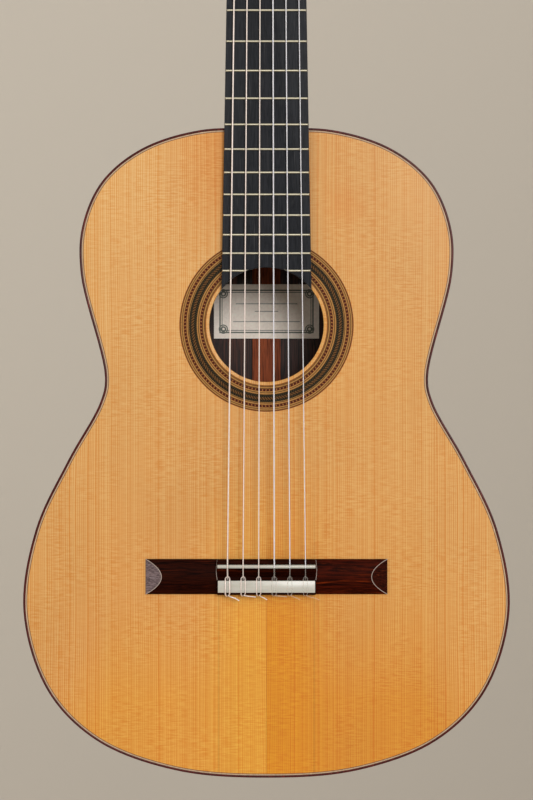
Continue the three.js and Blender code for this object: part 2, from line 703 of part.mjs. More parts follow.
function tubeThrough(points, radius) {
  const section = new THREE.Shape();
  section.absarc(0, 0, radius, 0, 2 * Math.PI, false);
  const settings = { steps: points.length - 1, curveSegments: 4, extrudePath: new BentLine(points) };
  return solidOf(new THREE.ExtrudeGeometry(section, settings));
}

// A ring of turns about a roller, drawn in the head's frame.
function winding(string) {
  const inner = ROLLER_RADIUS + 0.35;
  const outer = inner + 2 * string.radius;
  const half = 5 * string.radius;
  const profile = [
    new THREE.Vector2(inner, -half),
    new THREE.Vector2(outer, -half),
    new THREE.Vector2(outer, half),
    new THREE.Vector2(inner, half),
    new THREE.Vector2(inner, -half),
  ];
  const ring = new THREE.LatheGeometry(profile, 12).rotateZ(Math.PI / 2);
  return ring.translate(string.windingX, ROLLER_Y, ROLLER_STATIONS[string.station]);
}

// Tied over the tie block, up over the saddle and the nut, and wound on its roller.
function stringSolid(string, index) {
  const { radius } = string;
  const saddleX = stringX(index, STRING_SPACING_AT_SADDLE);
  const nutX = stringX(index, STRING_SPACING_AT_NUT);
  const overBone = -(TIE_BLOCK_HEIGHT + BONE_THICKNESS + 2 * GLUE_GAP + radius);
  const behind = BRIDGE_BOTTOM_Z - GLUE_GAP - radius;
  const overSaddle = -(SADDLE_TOP + GLUE_GAP + radius);
  const overNut = -(NUT_GROOVE_HEIGHT + GLUE_GAP + radius);
  const tangent = new THREE.Vector3(
    string.windingX,
    ROLLER_Y - ROLLER_RADIUS - 0.35 - radius,
    ROLLER_STATIONS[string.station] + 1,
  ).applyMatrix4(HEAD_TILT);
  const points = [
    new THREE.Vector3(saddleX + 1.9, overBone, TIE_BLOCK_FRONT_Z - 1),
    new THREE.Vector3(saddleX + 1.8, overBone, BRIDGE_BOTTOM_Z + 2),
    new THREE.Vector3(saddleX + 1.5, overBone + 1.4, behind),
    new THREE.Vector3(saddleX + 0.6, -TIE_HOLE_HEIGHT - 1, behind - 0.3),
    new THREE.Vector3(saddleX, -TIE_HOLE_HEIGHT, BRIDGE_BOTTOM_Z + 0.6),
    new THREE.Vector3(saddleX, -TIE_HOLE_HEIGHT, TIE_BLOCK_FRONT_Z + 0.6),
    new THREE.Vector3(saddleX, overSaddle + 0.5, SADDLE_Z - SADDLE_THICKNESS / 2 - 0.6),
    new THREE.Vector3(saddleX, overSaddle, SADDLE_Z),
    new THREE.Vector3(nutX, overNut, NUT_Z + 0.5),
    new THREE.Vector3(nutX, overNut, NUT_Z + NUT_LENGTH - 0.8),
    tangent,
  ];
  const wound = solidOf(winding(string).applyMatrix4(HEAD_TILT));
  return tubeThrough(points, radius).add(wound);
}

// ---- Tuning machines ----------------------------------------------------------------------------

const PLATE_X = HEAD_HALF_WIDTH + GLUE_GAP;
const GEAR_PITCH_RADIUS = (GEAR_TEETH * GEAR_MODULE) / 2;
const TOOTH_PITCH = Math.PI * GEAR_MODULE;
const WORM_OUTER_RADIUS = WORM_PITCH_RADIUS + ADDENDUM;
const WORM_ROOT_RADIUS = WORM_PITCH_RADIUS - DEDENDUM;
const WORM_X = PLATE_X + PLATE_THICKNESS + WORM_OUTER_RADIUS + 0.4;
const WORM_DROP = GEAR_PITCH_RADIUS + WORM_PITCH_RADIUS; // the worm lies this far towards the nut
const SHAFT_RADIUS = 1.4;
const LUG_NEAR = [1.2, 3.6];
const LUG_FAR = [14.4, 16.8];

// Two distances from the head's middle, as places on the side that the sign names, lower one first.
const onSide = (sign, near, far) => (sign > 0 ? [near, far] : [-far, -near]);

// A side plate with a pair of bearing lugs for each worm shaft, in the head's frame.
function tunerPlate(sign) {
  const [plateLeft, plateRight] = onSide(sign, PLATE_X, PLATE_X + PLATE_THICKNESS);
  const [lugLeft, lugRight] = onSide(sign, PLATE_X + PLATE_THICKNESS - 0.2, WORM_X + 2.4);
  const low = ROLLER_STATIONS[0] - WORM_DROP - 9;
  const high = ROLLER_STATIONS[2] + 13;
  const outline = [
    [3, low], [15, low], [17, low + 3], [17, high - 3], [15, high], [3, high], [1, high - 3], [1, low + 3],
  ];
  let solid = crossSection(outline, plateLeft, plateRight);
  for (const z of ROLLER_STATIONS) {
    const wormZ = z - WORM_DROP;
    for (const [y0, y1] of [LUG_NEAR, LUG_FAR]) {
      solid = solid.add(box([lugLeft, y0, wormZ - 2.5], [lugRight, y1, wormZ + 2.5]));
    }
    solid = solid
      .subtract(rod("y", [sign * WORM_X, 0, wormZ], 0, 20, SHAFT_RADIUS + 0.35, 8))
      .subtract(rod("x", [0, ROLLER_Y, z], plateLeft - 1, plateRight + 1, 3, 10));
  }
  return solid;
}

// The string roller: a full barrel across the slot, and a thin journal through the plate to the gear.
function roller(sign) {
  const journalEnd = WORM_X - GEAR_WIDTH / 2 - GLUE_GAP;
  const profile = [
    new THREE.Vector2(0, ROLLER_INNER_END),
    new THREE.Vector2(ROLLER_RADIUS - 0.6, ROLLER_INNER_END),
    new THREE.Vector2(ROLLER_RADIUS, ROLLER_INNER_END + 0.6),
    new THREE.Vector2(ROLLER_RADIUS, ROLLER_SHOULDER),
    new THREE.Vector2(2.6, ROLLER_SHOULDER),
    new THREE.Vector2(2.6, journalEnd),
    new THREE.Vector2(0, journalEnd),
  ];
  const lyingAlongX = new THREE.LatheGeometry(profile, 14).rotateZ((-sign * Math.PI) / 2);
  return solidOf(lyingAlongX);
}

// How thick a tooth or a thread is, at a height above the pitch line.
const toothThickness = (above) => TOOTH_SHARE * TOOTH_PITCH - 2 * above * TOOTH_SLOPE;

// A helical gear with a gap facing the worm, and the boss of its fixing screw.
function gear(sign) {
  const tip = GEAR_PITCH_RADIUS + ADDENDUM;
  const root = GEAR_PITCH_RADIUS - DEDENDUM;
  const tipTurn = toothThickness(ADDENDUM) / 2 / tip;
  const rootTurn = toothThickness(-DEDENDUM) / 2 / root;
  const outline = [];
  for (let tooth = 0; tooth < GEAR_TEETH; tooth++) {
    const middle = ((tooth + 0.5) * 2 * Math.PI) / GEAR_TEETH - Math.PI / 2;
    for (const [radius, turn] of [[root, -rootTurn], [tip, -tipTurn], [tip, tipTurn], [root, rootTurn]]) {
      outline.push([radius * Math.cos(middle + turn), radius * Math.sin(middle + turn)]);
    }
  }
  const shape = new THREE.Shape(outline.map(([y, z]) => new THREE.Vector2(y, z)));
  const twistPerMillimetre = TOOTH_PITCH / (2 * Math.PI * WORM_PITCH_RADIUS) / GEAR_PITCH_RADIUS;
  const toothed = lofted(shape, [-GEAR_WIDTH / 2, GEAR_WIDTH / 2], (y, z, x) => {
    const turn = x * twistPerMillimetre;
    return [x, y * Math.cos(turn) - z * Math.sin(turn), y * Math.sin(turn) + z * Math.cos(turn)];
  });
  const [bossLeft, bossRight] = onSide(sign, GEAR_WIDTH / 2 - 0.2, GEAR_WIDTH / 2 + 1.3);
  return toothed.add(rod("x", [0, 0, 0], bossLeft, bossRight, 2.6, 10));
}

// The worm's thread: a straight bar with a tooth's section, bent round the shaft as a right-handed helix.
function wormThread() {
  const turns = 2.25;
  const bar = new THREE.BoxGeometry(1, 1, 1, 1, 1, 8 * turns);
  const positions = bar.attributes.position;
  for (let i = 0; i < positions.count; i++) {
    const atTip = positions.getY(i) > 0;
    const radius = atTip ? WORM_OUTER_RADIUS : WORM_ROOT_RADIUS - 0.35;
    const across = positions.getX(i) * toothThickness(atTip ? ADDENDUM : -DEDENDUM);
    const turn = positions.getZ(i) * turns;
    const y = ROLLER_Y + turn * TOOTH_PITCH + across;
    positions.setXYZ(i, radius * Math.sin(2 * Math.PI * turn), y, radius * Math.cos(2 * Math.PI * turn));
  }
  return solidOf(bar);
}

// The worm between the plate's lugs, on a shaft along +Y that ends inside the button's collar.
function wormShaft() {
  const core = rod("y", [0, 0, 0], LUG_NEAR[1] + 0.4, LUG_FAR[0] - 0.4, WORM_ROOT_RADIUS, 8);
  const shaft = rod("y", [0, 0, 0], LUG_NEAR[0] - 0.6, BUTTON_START - GLUE_GAP, SHAFT_RADIUS, 8);
  return joined([core, shaft, wormThread()]);
}

// An oval button, flat enough to grip, with a collar where the shaft enters it.
function button() {
  const shape = new THREE.Shape();
  const middle = BUTTON_START + 3 + BUTTON_LENGTH / 2;
  shape.absellipse(middle, 0, BUTTON_LENGTH / 2 - 1.2, 6, 0, 2 * Math.PI, false, 0);
  const settings = { depth: 4.4, bevelSize: 1.2, bevelThickness: 1.6, bevelSegments: 2, curveSegments: 7 };
  const oval = new THREE.ExtrudeGeometry(shape, settings);
  oval.applyMatrix4(new THREE.Matrix4().set(0, 0, 1, -2.2, 1, 0, 0, 0, 0, 1, 0, 0, 0, 0, 0, 1));
  return solidOf(oval).add(rod("y", [0, 0, 0], BUTTON_START, middle - 4, 2.4, 8));
}

// ---- The guitar ---------------------------------------------------------------------------------

function body() {
  const group = new THREE.Group();
  group.add(
    piece("soundboard_bass_half", soundboardHalf(-1), spruce),
    piece("soundboard_treble_half", soundboardHalf(1), spruce),
    piece("rosette", rosette(), marquetry),
    piece("soundhole_doubler", soundholeDoubler(), spruce),
    piece("upper_harmonic_bar", harmonicBar(UPPER_BAR_Z, 134), spruce),
    piece("lower_harmonic_bar", harmonicBar(LOWER_BAR_Z, 121), spruce),
    piece("fan_bracing", fanBracing(), spruce),
    piece("side_bass", side(-1), rosewood),
    piece("side_treble", side(1), rosewood),
    piece("back_bass_half", backHalf(-1), rosewood),
    piece("back_treble_half", backHalf(1), rosewood),
    piece("back_bracing", backBracing(), cedar),
    piece("end_graft", endGraft(), rosewood),
    piece("tail_block", tailBlock(), cedar),
    piece("top_binding", topBinding(), rosewood),
    piece("back_binding", backBinding(), rosewood),
    piece("top_lining", topLining(), cedar),
    piece("back_lining", backLining(), cedar),
    piece("label", label(), paper),
  );
  return group;
}

function neckAndBridge() {
  const group = new THREE.Group();
  group.add(
    piece("neck", neck(), cedar),
    piece("heel_cap", heelCap(), rosewood),
    piece("fingerboard", fingerboard(), ebony),
    piece("nut", nut(), bone),
    piece("bridge", bridge(), rosewood),
    piece("saddle", saddle(), bone),
    piece("tie_block_bone", tieBlockBone(), bone),
  );
  STRINGS.forEach((string, index) => {
    const look = string.number > 3 ? silverWound : nylon;
    group.add(piece(`string_${string.number}`, stringSolid(string, index), look));
  });
  return group;
}

// The tilted head with its veneer, plates and six machines.
function head() {
  const group = new THREE.Group();
  group.position.z = NUT_Z + NUT_LENGTH;
  group.rotation.x = -HEAD_ANGLE;
  group.add(
    piece("headstock", headstock(), cedar),
    piece("head_veneer", headVeneer(), rosewood),
    piece("tuner_plate_bass", tunerPlate(-1), brass),
    piece("tuner_plate_treble", tunerPlate(1), brass),
  );
  for (const string of STRINGS) {
    const sign = string.number > 3 ? -1 : 1;
    const z = ROLLER_STATIONS[string.station];
    const turning = piece(`roller_${string.number}`, roller(sign), rollerPlastic);
    turning.position.set(0, ROLLER_Y, z);
    const cog = piece(`gear_${string.number}`, gear(sign), brass);
    cog.position.set(sign * WORM_X, ROLLER_Y, z);
    const shaft = piece(`worm_shaft_${string.number}`, wormShaft(), brass);
    const knob = piece(`button_${string.number}`, button(), pearloid);
    for (const mesh of [shaft, knob]) mesh.position.set(sign * WORM_X, 0, z - WORM_DROP);
    group.add(turning, cog, shaft, knob);
  }
  return group;
}

const guitar = new THREE.Group();
guitar.add(body(), neckAndBridge(), head());
guitar.position.copy(HANGER_SEAT).negate();

export default guitar;
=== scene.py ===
"""A concert classical guitar: spruce soundboard, rosewood back and sides, ebony fingerboard, slotted head.

Every shape is drawn in millimetres from the tail of the body, with x towards the treble side, y backwards
from the soundboard's face and z up the neck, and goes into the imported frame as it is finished. The head has
a frame of its own, tilted back about the rear edge of the nut.
"""

import logging
import math
from collections.abc import Callable, Mapping, Sequence
from dataclasses import dataclass, field
from enum import Enum

import bmesh
import bpy
from mathutils import Matrix, Vector
from mathutils.geometry import interpolate_bezier


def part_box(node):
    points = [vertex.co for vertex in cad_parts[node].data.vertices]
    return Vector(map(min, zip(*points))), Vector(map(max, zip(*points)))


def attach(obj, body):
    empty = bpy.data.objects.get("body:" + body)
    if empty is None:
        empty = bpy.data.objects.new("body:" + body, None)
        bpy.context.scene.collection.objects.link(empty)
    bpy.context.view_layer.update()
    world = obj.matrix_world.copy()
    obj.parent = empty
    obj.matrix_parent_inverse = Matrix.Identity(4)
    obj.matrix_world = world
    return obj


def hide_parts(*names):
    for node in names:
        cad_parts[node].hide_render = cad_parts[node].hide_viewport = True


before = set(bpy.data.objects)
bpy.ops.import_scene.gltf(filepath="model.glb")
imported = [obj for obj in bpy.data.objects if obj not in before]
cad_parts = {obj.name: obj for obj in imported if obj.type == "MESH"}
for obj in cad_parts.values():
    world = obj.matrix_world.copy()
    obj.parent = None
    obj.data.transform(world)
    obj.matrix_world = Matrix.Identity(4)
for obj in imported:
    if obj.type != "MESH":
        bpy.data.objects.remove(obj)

log = logging.getLogger("guitar")

GUITAR = "guitar"
MILLIMETRE = 0.001
NUT_Z = 809.2
NUT_LENGTH = 5.0
BODY_LENGTH = 482.0
SCALE_LENGTH = 650.0
SADDLE_Z = 157.6
SOUNDHOLE_Z = 336.4
SOUNDHOLE_RADIUS = 42.5
HEAD_ANGLE = math.radians(11.0)


# ---- Shapes --------------------------------------------------------------------------------------


@dataclass(frozen=True)
class Datum:
    """Where the guitar's own millimetres, and the tilted head's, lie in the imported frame."""

    body: Matrix
    head: Matrix

    @classmethod
    def from_frame(cls) -> "Datum":
        """Reads the soundboard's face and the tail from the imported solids.

        Returns:
            The two placings, from millimetres to the frame's metres.
        """
        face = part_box("soundboard_bass_half")[0].y
        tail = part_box("top_binding")[0].z
        body = Matrix.Translation((0.0, face, tail)) @ Matrix.Scale(MILLIMETRE, 4)
        return cls(body, body @ head_tilt())


def head_tilt() -> Matrix:
    """Returns the head's own frame in the guitar's millimetres."""
    return Matrix.Translation((0.0, 0.0, NUT_Z + NUT_LENGTH)) @ Matrix.Rotation(-HEAD_ANGLE, 4, "X")


DATUM = Datum.from_frame()


def smooth_line(points: Sequence[Vector], steps: int, closed: bool = False) -> list[Vector]:
    """Draws a smooth line through points, a centripetal spline as cubic pieces.

    Args:
        points: what the line passes through, in order.
        steps: straight pieces between two points.
        closed: whether the line returns to its first point.

    Returns:
        The line's points; a closed line doesn't repeat its first one.
    """
    count = len(points)
    spans = count if closed else count - 1
    line: list[Vector] = []
    for i in range(spans):
        start, end = points[i], points[(i + 1) % count]
        before = points[i - 1] if closed or i else start * 2 - end
        after = points[(i + 2) % count] if closed or i + 2 < count else end * 2 - start
        gap0, gap1, gap2 = (max((b - a).length, 1e-6) ** 0.5 for a, b in
                            ((before, start), (start, end), (end, after)))
        leaving = (start - before) / gap0 - (end - before) / (gap0 + gap1) + (end - start) / gap1
        arriving = (end - start) / gap1 - (after - start) / (gap1 + gap2) + (after - end) / gap2
        handles = start + leaving * gap1 / 3, end - arriving * gap1 / 3
        line += interpolate_bezier(start, *handles, end, steps + 1)[:-1]
    if not closed:
        line.append(points[-1].copy())
    return line


class Solid:
    """A closed shape in millimetres, made and changed with bmesh operators."""

    def __init__(self) -> None:
        """Starts an empty shape."""
        self.bm = bmesh.new()

    @classmethod
    def box(cls, low: Sequence[float], high: Sequence[float]) -> "Solid":
        """Returns a box from its lowest to its highest corner."""
        solid = cls()
        centre = [(a + b) / 2 for a, b in zip(low, high)]
        size = [b - a for a, b in zip(low, high)]
        place = Matrix.Translation(centre) @ Matrix.Diagonal((*size, 1.0))
        bmesh.ops.create_cube(solid.bm, size=1.0, matrix=place)
        return solid

    @classmethod
    def plate(cls, outline: Sequence[Vector], push: Sequence[float],
              holes: Sequence[Sequence[Vector]] = ()) -> "Solid":
        """Makes a flat plate.

        Args:
            outline: its edge, in order.
            push: how far the face is drawn out to give it thickness.
            holes: the edges of holes right through it.

        Returns:
            The plate.
        """
        solid = cls()
        rings = [solid._ring(ring) for ring in (outline, *holes)]
        if holes:
            edges = [edge for ring in rings for edge in ring[1]]
            bmesh.ops.triangle_fill(solid.bm, edges=edges, use_beauty=True, use_dissolve=False)
        else:
            solid.bm.faces.new(rings[0][0])
        return solid._pulled(push)

    @classmethod
    def band(cls, outer: Sequence[Vector], inner: Sequence[Vector], push: Sequence[float]) -> "Solid":
        """Returns a flat ring between two closed lines of as many points, given thickness by a push."""
        solid = cls()
        edges = solid._ring(outer)[1] + solid._ring(inner)[1]
        bmesh.ops.bridge_loops(solid.bm, edges=edges)
        return solid._pulled(push)

    @classmethod
    def spun(cls, profile: Sequence[tuple[float, float]], steps: int = 48) -> "Solid":
        """Makes a turned shape.

        Args:
            profile: (radius, height) points, from axis to axis or closed on itself.
            steps: faces round the turn.

        Returns:
            The shape, turned about Z.
        """
        solid = cls()
        bm = solid.bm
        verts = [bm.verts.new((radius, 0.0, height)) for radius, height in profile]
        edges = [bm.edges.new(pair) for pair in zip(verts, verts[1:])]
        if profile[0][0] > 0.0:
            edges.append(bm.edges.new((verts[-1], verts[0])))
        bmesh.ops.spin(bm, geom=[*verts, *edges], cent=(0, 0, 0), axis=(0, 0, 1), dvec=(0, 0, 0),
                       angle=2 * math.pi, steps=steps, use_merge=True)
        bmesh.ops.remove_doubles(bm, verts=bm.verts, dist=1e-4)
        return solid

    @classmethod
    def lofted(cls, sections: Sequence[Sequence[Vector]]) -> "Solid":
        """Returns a skin over a row of closed sections of as many points, with its ends closed."""
        solid = cls()
        rings = [solid._ring(section) for section in sections]
        for (_, here), (_, there) in zip(rings, rings[1:]):
            bmesh.ops.bridge_loops(solid.bm, edges=here + there)
        for verts, _ in (rings[0], rings[-1]):
            solid.bm.faces.new(verts)
        return solid

    @classmethod
    def tube(cls, path: Sequence[Vector], radius: float, sides: int = 12) -> "Solid":
        """Returns a round tube that follows a path without twisting, with closed ends."""
        solid = cls()
        bm = solid.bm
        rings = []
        turn = None
        for i, point in enumerate(path):
            along = (path[min(i + 1, len(path) - 1)] - path[max(i - 1, 0)]).normalized()
            if turn is None:
                turn = along.to_track_quat("Z", "Y")
            else:
                turn = (turn @ Vector((0, 0, 1))).rotation_difference(along) @ turn
            place = Matrix.Translation(point) @ turn.to_matrix().to_4x4()
            made = bmesh.ops.create_circle(bm, cap_ends=False, radius=radius, segments=sides, matrix=place)
            rings.append((made["verts"], list({e for v in made["verts"] for e in v.link_edges})))
        for (_, here), (_, there) in zip(rings, rings[1:]):
            bmesh.ops.bridge_loops(bm, edges=here + there)
        for _, edges in (rings[0], rings[-1]):
            bmesh.ops.contextual_create(bm, geom=edges)
        return solid

    @classmethod
    def copy_of(cls, node: str) -> "Solid":
        """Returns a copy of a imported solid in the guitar's millimetres, its flat faces made whole."""
        solid = cls()
        bm = solid.bm
        bm.from_mesh(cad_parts[node].data)
        bmesh.ops.transform(bm, matrix=DATUM.body.inverted(), verts=bm.verts)
        bmesh.ops.remove_doubles(bm, verts=bm.verts, dist=0.002)
        bmesh.ops.dissolve_limit(bm, angle_limit=math.radians(1.5), verts=bm.verts, edges=bm.edges)
        return solid

    def _ring(self, points: Sequence[Vector]) -> tuple[list, list]:
        """Draws a closed line and returns its vertices and edges."""
        verts = [self.bm.verts.new(point) for point in points]
        edges = [self.bm.edges.new(pair) for pair in zip(verts, [*verts[1:], verts[0]])]
        return verts, edges

    def _pulled(self, push: Sequence[float]) -> "Solid":
        """Gives every face thickness and returns the shape."""
        made = bmesh.ops.extrude_face_region(self.bm, geom=list(self.bm.faces))
        moved = [item for item in made["geom"] if isinstance(item, bmesh.types.BMVert)]
        bmesh.ops.translate(self.bm, verts=moved, vec=push)
        return self.facing_out()

    def facing_out(self) -> "Solid":
        """Turns every face outwards and returns the shape."""
        bmesh.ops.recalc_face_normals(self.bm, faces=self.bm.faces)
        self.bm.normal_update()
        return self

    def moved(self, place: Matrix) -> "Solid":
        """Returns the shape, moved and turned by a matrix."""
        bmesh.ops.transform(self.bm, matrix=place, verts=self.bm.verts)
        return self

    def shaped(self, rule: Callable[[Vector], Vector]) -> "Solid":
        """Returns the shape with every vertex moved to where a rule puts it."""
        for vert in self.bm.verts:
            vert.co = rule(vert.co)
        return self

    def divided(self, axis: int, places: Sequence[float]) -> "Solid":
        """Returns the shape with its faces cut at places along an axis, so that it can be curved."""
        normal = [0.0, 0.0, 0.0]
        normal[axis] = 1.0
        for place in places:
            geom = [*self.bm.verts, *self.bm.edges, *self.bm.faces]
            bmesh.ops.bisect_plane(self.bm, geom=geom, dist=1e-4, plane_co=[place * n for n in normal],
                                   plane_no=normal)
        return self

    def sliced(self, point: Sequence[float], normal: Sequence[float]) -> "Solid":
        """Returns what is left behind a plane, with the cut closed."""
        geom = [*self.bm.verts, *self.bm.edges, *self.bm.faces]
        made = bmesh.ops.bisect_plane(self.bm, geom=geom, dist=1e-4, plane_co=point, plane_no=normal,
                                      clear_outer=True)
        edges = [item for item in made["geom_cut"] if isinstance(item, bmesh.types.BMEdge)]
        bmesh.ops.holes_fill(self.bm, edges=edges)
        return self.facing_out()

    def bevelled(self, width: float, segments: int = 2, sharper_than: float = 40.0,
                 where: Callable[[Vector], bool] | None = None) -> "Solid":
        """Rounds the sharp edges.

        Args:
            width: how far the rounding reaches from an edge.
            segments: faces across it.
            sharper_than: the least angle between two faces that counts as sharp, in degrees.
            where: a test of an edge's middle, to round only some of them.

        Returns:
            The shape.
        """
        self.facing_out()
        edges = [
            edge for edge in self.bm.edges
            if len(edge.link_faces) == 2
            and edge.calc_face_angle(0.0) > math.radians(sharper_than)
            and (where is None or where((edge.verts[0].co + edge.verts[1].co) / 2))
        ]
        bmesh.ops.bevel(self.bm, geom=edges, offset=width, offset_type="OFFSET", segments=segments,
                        profile=0.5, affect="EDGES", clamp_overlap=True, material=-1, loop_slide=True)
        return self

    def joined(self, *others: "Solid") -> "Solid":
        """Returns the shape with others added as they are."""
        for other in others:
            mesh = bpy.data.meshes.new("joined")
            other.bm.to_mesh(mesh)
            self.bm.from_mesh(mesh)
            bpy.data.meshes.remove(mesh)
        return self

    def _object(self) -> bpy.types.Object:
        """Returns the shape as a working object."""
        self.facing_out()
        mesh = bpy.data.meshes.new("working")
        self.bm.to_mesh(mesh)
        obj = bpy.data.objects.new("working", mesh)
        bpy.context.scene.collection.objects.link(obj)
        return obj

    def cut(self, *tools: "Solid") -> "Solid":
        """Returns the shape with other shapes taken away from it."""
        target = self._object()
        cutters = [tool._object() for tool in tools]
        for cutter in cutters:
            modifier = target.modifiers.new("cut", "BOOLEAN")
            modifier.operation = "DIFFERENCE"
            modifier.solver = "EXACT"
            modifier.object = cutter
        mesh = bpy.data.meshes.new_from_object(target.evaluated_get(bpy.context.evaluated_depsgraph_get()))
        self.bm.clear()
        self.bm.from_mesh(mesh)
        bpy.data.meshes.remove(mesh)
        for obj in (target, *cutters):
            bpy.data.meshes.remove(obj.data)
        return self.facing_out()

    def finish(self, name: str, look: "Finish", body: str = GUITAR, stands_for: Sequence[str] = (),
               tilted: bool = False, smooth_under: float = 35.0) -> bpy.types.Object:
        """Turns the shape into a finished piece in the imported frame.

        Args:
            name: the piece's name.
            look: its finish.
            body: the moving body it rides on.
            stands_for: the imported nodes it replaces.
            tilted: whether it was drawn in the head's frame.
            smooth_under: edges flatter than this, in degrees, are shaded smooth.

        Returns:
            The piece.
        """
        bmesh.ops.transform(self.bm, matrix=DATUM.head if tilted else DATUM.body, verts=self.bm.verts)
        self.facing_out()
        mesh = bpy.data.meshes.new(name)
        self.bm.to_mesh(mesh)
        self.bm.free()
        mesh.shade_smooth()
        mesh.set_sharp_from_angle(angle=math.radians(smooth_under))
        mesh.materials.append(look.material())
        piece = bpy.data.objects.new(name, mesh)
        bpy.context.scene.collection.objects.link(piece)
        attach(piece, body)
        if stands_for:
            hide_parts(*stands_for)
        log.info("%s: %d faces, rides on %s", name, len(mesh.polygons), body)
        return piece


def arc(centre: tuple[float, float], radius: float, start: float, end: float, steps: int) -> list[Vector]:
    """Returns points on an arc in the plane of x and z, between two angles in degrees from x."""
    angles = (math.radians(start + (end - start) * i / steps) for i in range(steps + 1))
    return [Vector((centre[0] + radius * math.cos(a), 0.0, centre[1] + radius * math.sin(a))) for a in angles]


def along_x(centre: Sequence[float]) -> Matrix:
    """Returns the placing that lays a shape turned about Z along X through a point."""
    return Matrix.Translation(centre) @ Matrix.Rotation(math.pi / 2, 4, "Y")


def along_y(centre: Sequence[float]) -> Matrix:
    """Returns the placing that lays a shape turned about Z along Y through a point, pointing backwards."""
    return Matrix.Translation(centre) @ Matrix.Rotation(-math.pi / 2, 4, "X")


# ---- Finishes ------------------------------------------------------------------------------------


class Grain(Enum):
    """Which way the fibres of a board run, as the stretch of its pattern along x, y and z."""

    UP = (1.0, 1.0, 0.045)
    ACROSS = (0.045, 1.0, 1.0)


class Inlay(Enum):
    """How a strip of marquetry is made up."""

    PLAIN = 0
    DASHED = 1
    ROPE = 2
    CHECKED = 3
    LINED = 4


def linear(hex_colour: str, alpha: float = 1.0) -> tuple[float, float, float, float]:
    """Returns an sRGB hex colour as linear red, green, blue and alpha."""
    channels = [int(hex_colour[i:i + 2], 16) / 255 for i in (1, 3, 5)]
    return (*(c / 12.92 if c <= 0.04045 else ((c + 0.055) / 1.055) ** 2.4 for c in channels), alpha)


def add_node(tree: bpy.types.NodeTree, kind: str, inputs: Sequence | Mapping = (), output: int | str = 0,
             **settings: object) -> bpy.types.NodeSocket | None:
    """Adds a node, sets it up and links it.

    Args:
        tree: the material's nodes.
        kind: the node's type, without its ShaderNode prefix.
        inputs: values or sockets by position, or by name; None leaves an input as it is.
        output: which output to return.
        settings: the node's properties; stops are the places and colours of a colour ramp.

    Returns:
        The output, or None for a node that has none.
    """
    node = tree.nodes.new("ShaderNode" + kind)
    for name, value in settings.items():
        if name == "stops":
            elements = node.color_ramp.elements
            while len(elements) < len(value):
                elements.new(0.5)
            for element, (place, colour) in zip(elements, value):
                element.position, element.color = place, colour
        else:
            setattr(node, name, value)
    for key, value in inputs.items() if isinstance(inputs, Mapping) else enumerate(inputs):
        if isinstance(value, bpy.types.NodeSocket):
            tree.links.new(value, node.inputs[key])
        elif value is not None:
            node.inputs[key].default_value = value
    return node.outputs[output] if len(node.outputs) else None


@dataclass(frozen=True)
class Finish:
    """A surface, which makes its material once and knows the record's slot it belongs to."""

    name: str
    slot: str

    def material(self) -> bpy.types.Material:
        """Returns the material, made on the first call."""
        made = bpy.data.materials.get(self.name)
        if made is None:
            made = bpy.data.materials.new(self.name)
            made.use_nodes = True
            made.node_tree.nodes.clear()
            self.paint(made.node_tree)
        return made

    def paint(self, tree: bpy.types.NodeTree) -> None:
        """Fills the material's nodes."""
        raise NotImplementedError

    def surface(self, tree: bpy.types.NodeTree, settings: Mapping[str, object]) -> None:
        """Ends a material in a Principled shader with these inputs."""
        shader = add_node(tree, "BsdfPrincipled", settings)
        add_node(tree, "OutputMaterial", {"Surface": shader})

    def millimetres(self, tree: bpy.types.NodeTree, stretch: Sequence[float] = (1.0, 1.0, 1.0),
                    centre: Sequence[float] = (0.0, 0.0, 0.0)) -> bpy.types.NodeSocket:
        """Returns object coordinates in millimetres, stretched, from a centre given in the frame's metres."""
        place = add_node(tree, "TexCoord", output="Object")
        moved = add_node(tree, "VectorMath", [place, tuple(centre)], operation="SUBTRACT")
        scale = tuple(1000.0 * s for s in stretch)
        return add_node(tree, "VectorMath", [moved, scale], operation="MULTIPLY")


# A faint warmer patch beside the neck, in millimetres: its middle, its full part's radius and where it ends.
WARM_PATCH_MIDDLE = (59.0, 0.0, -388.0)
WARM_PATCH_CORE = 3.0
WARM_PATCH_REACH = 24.0


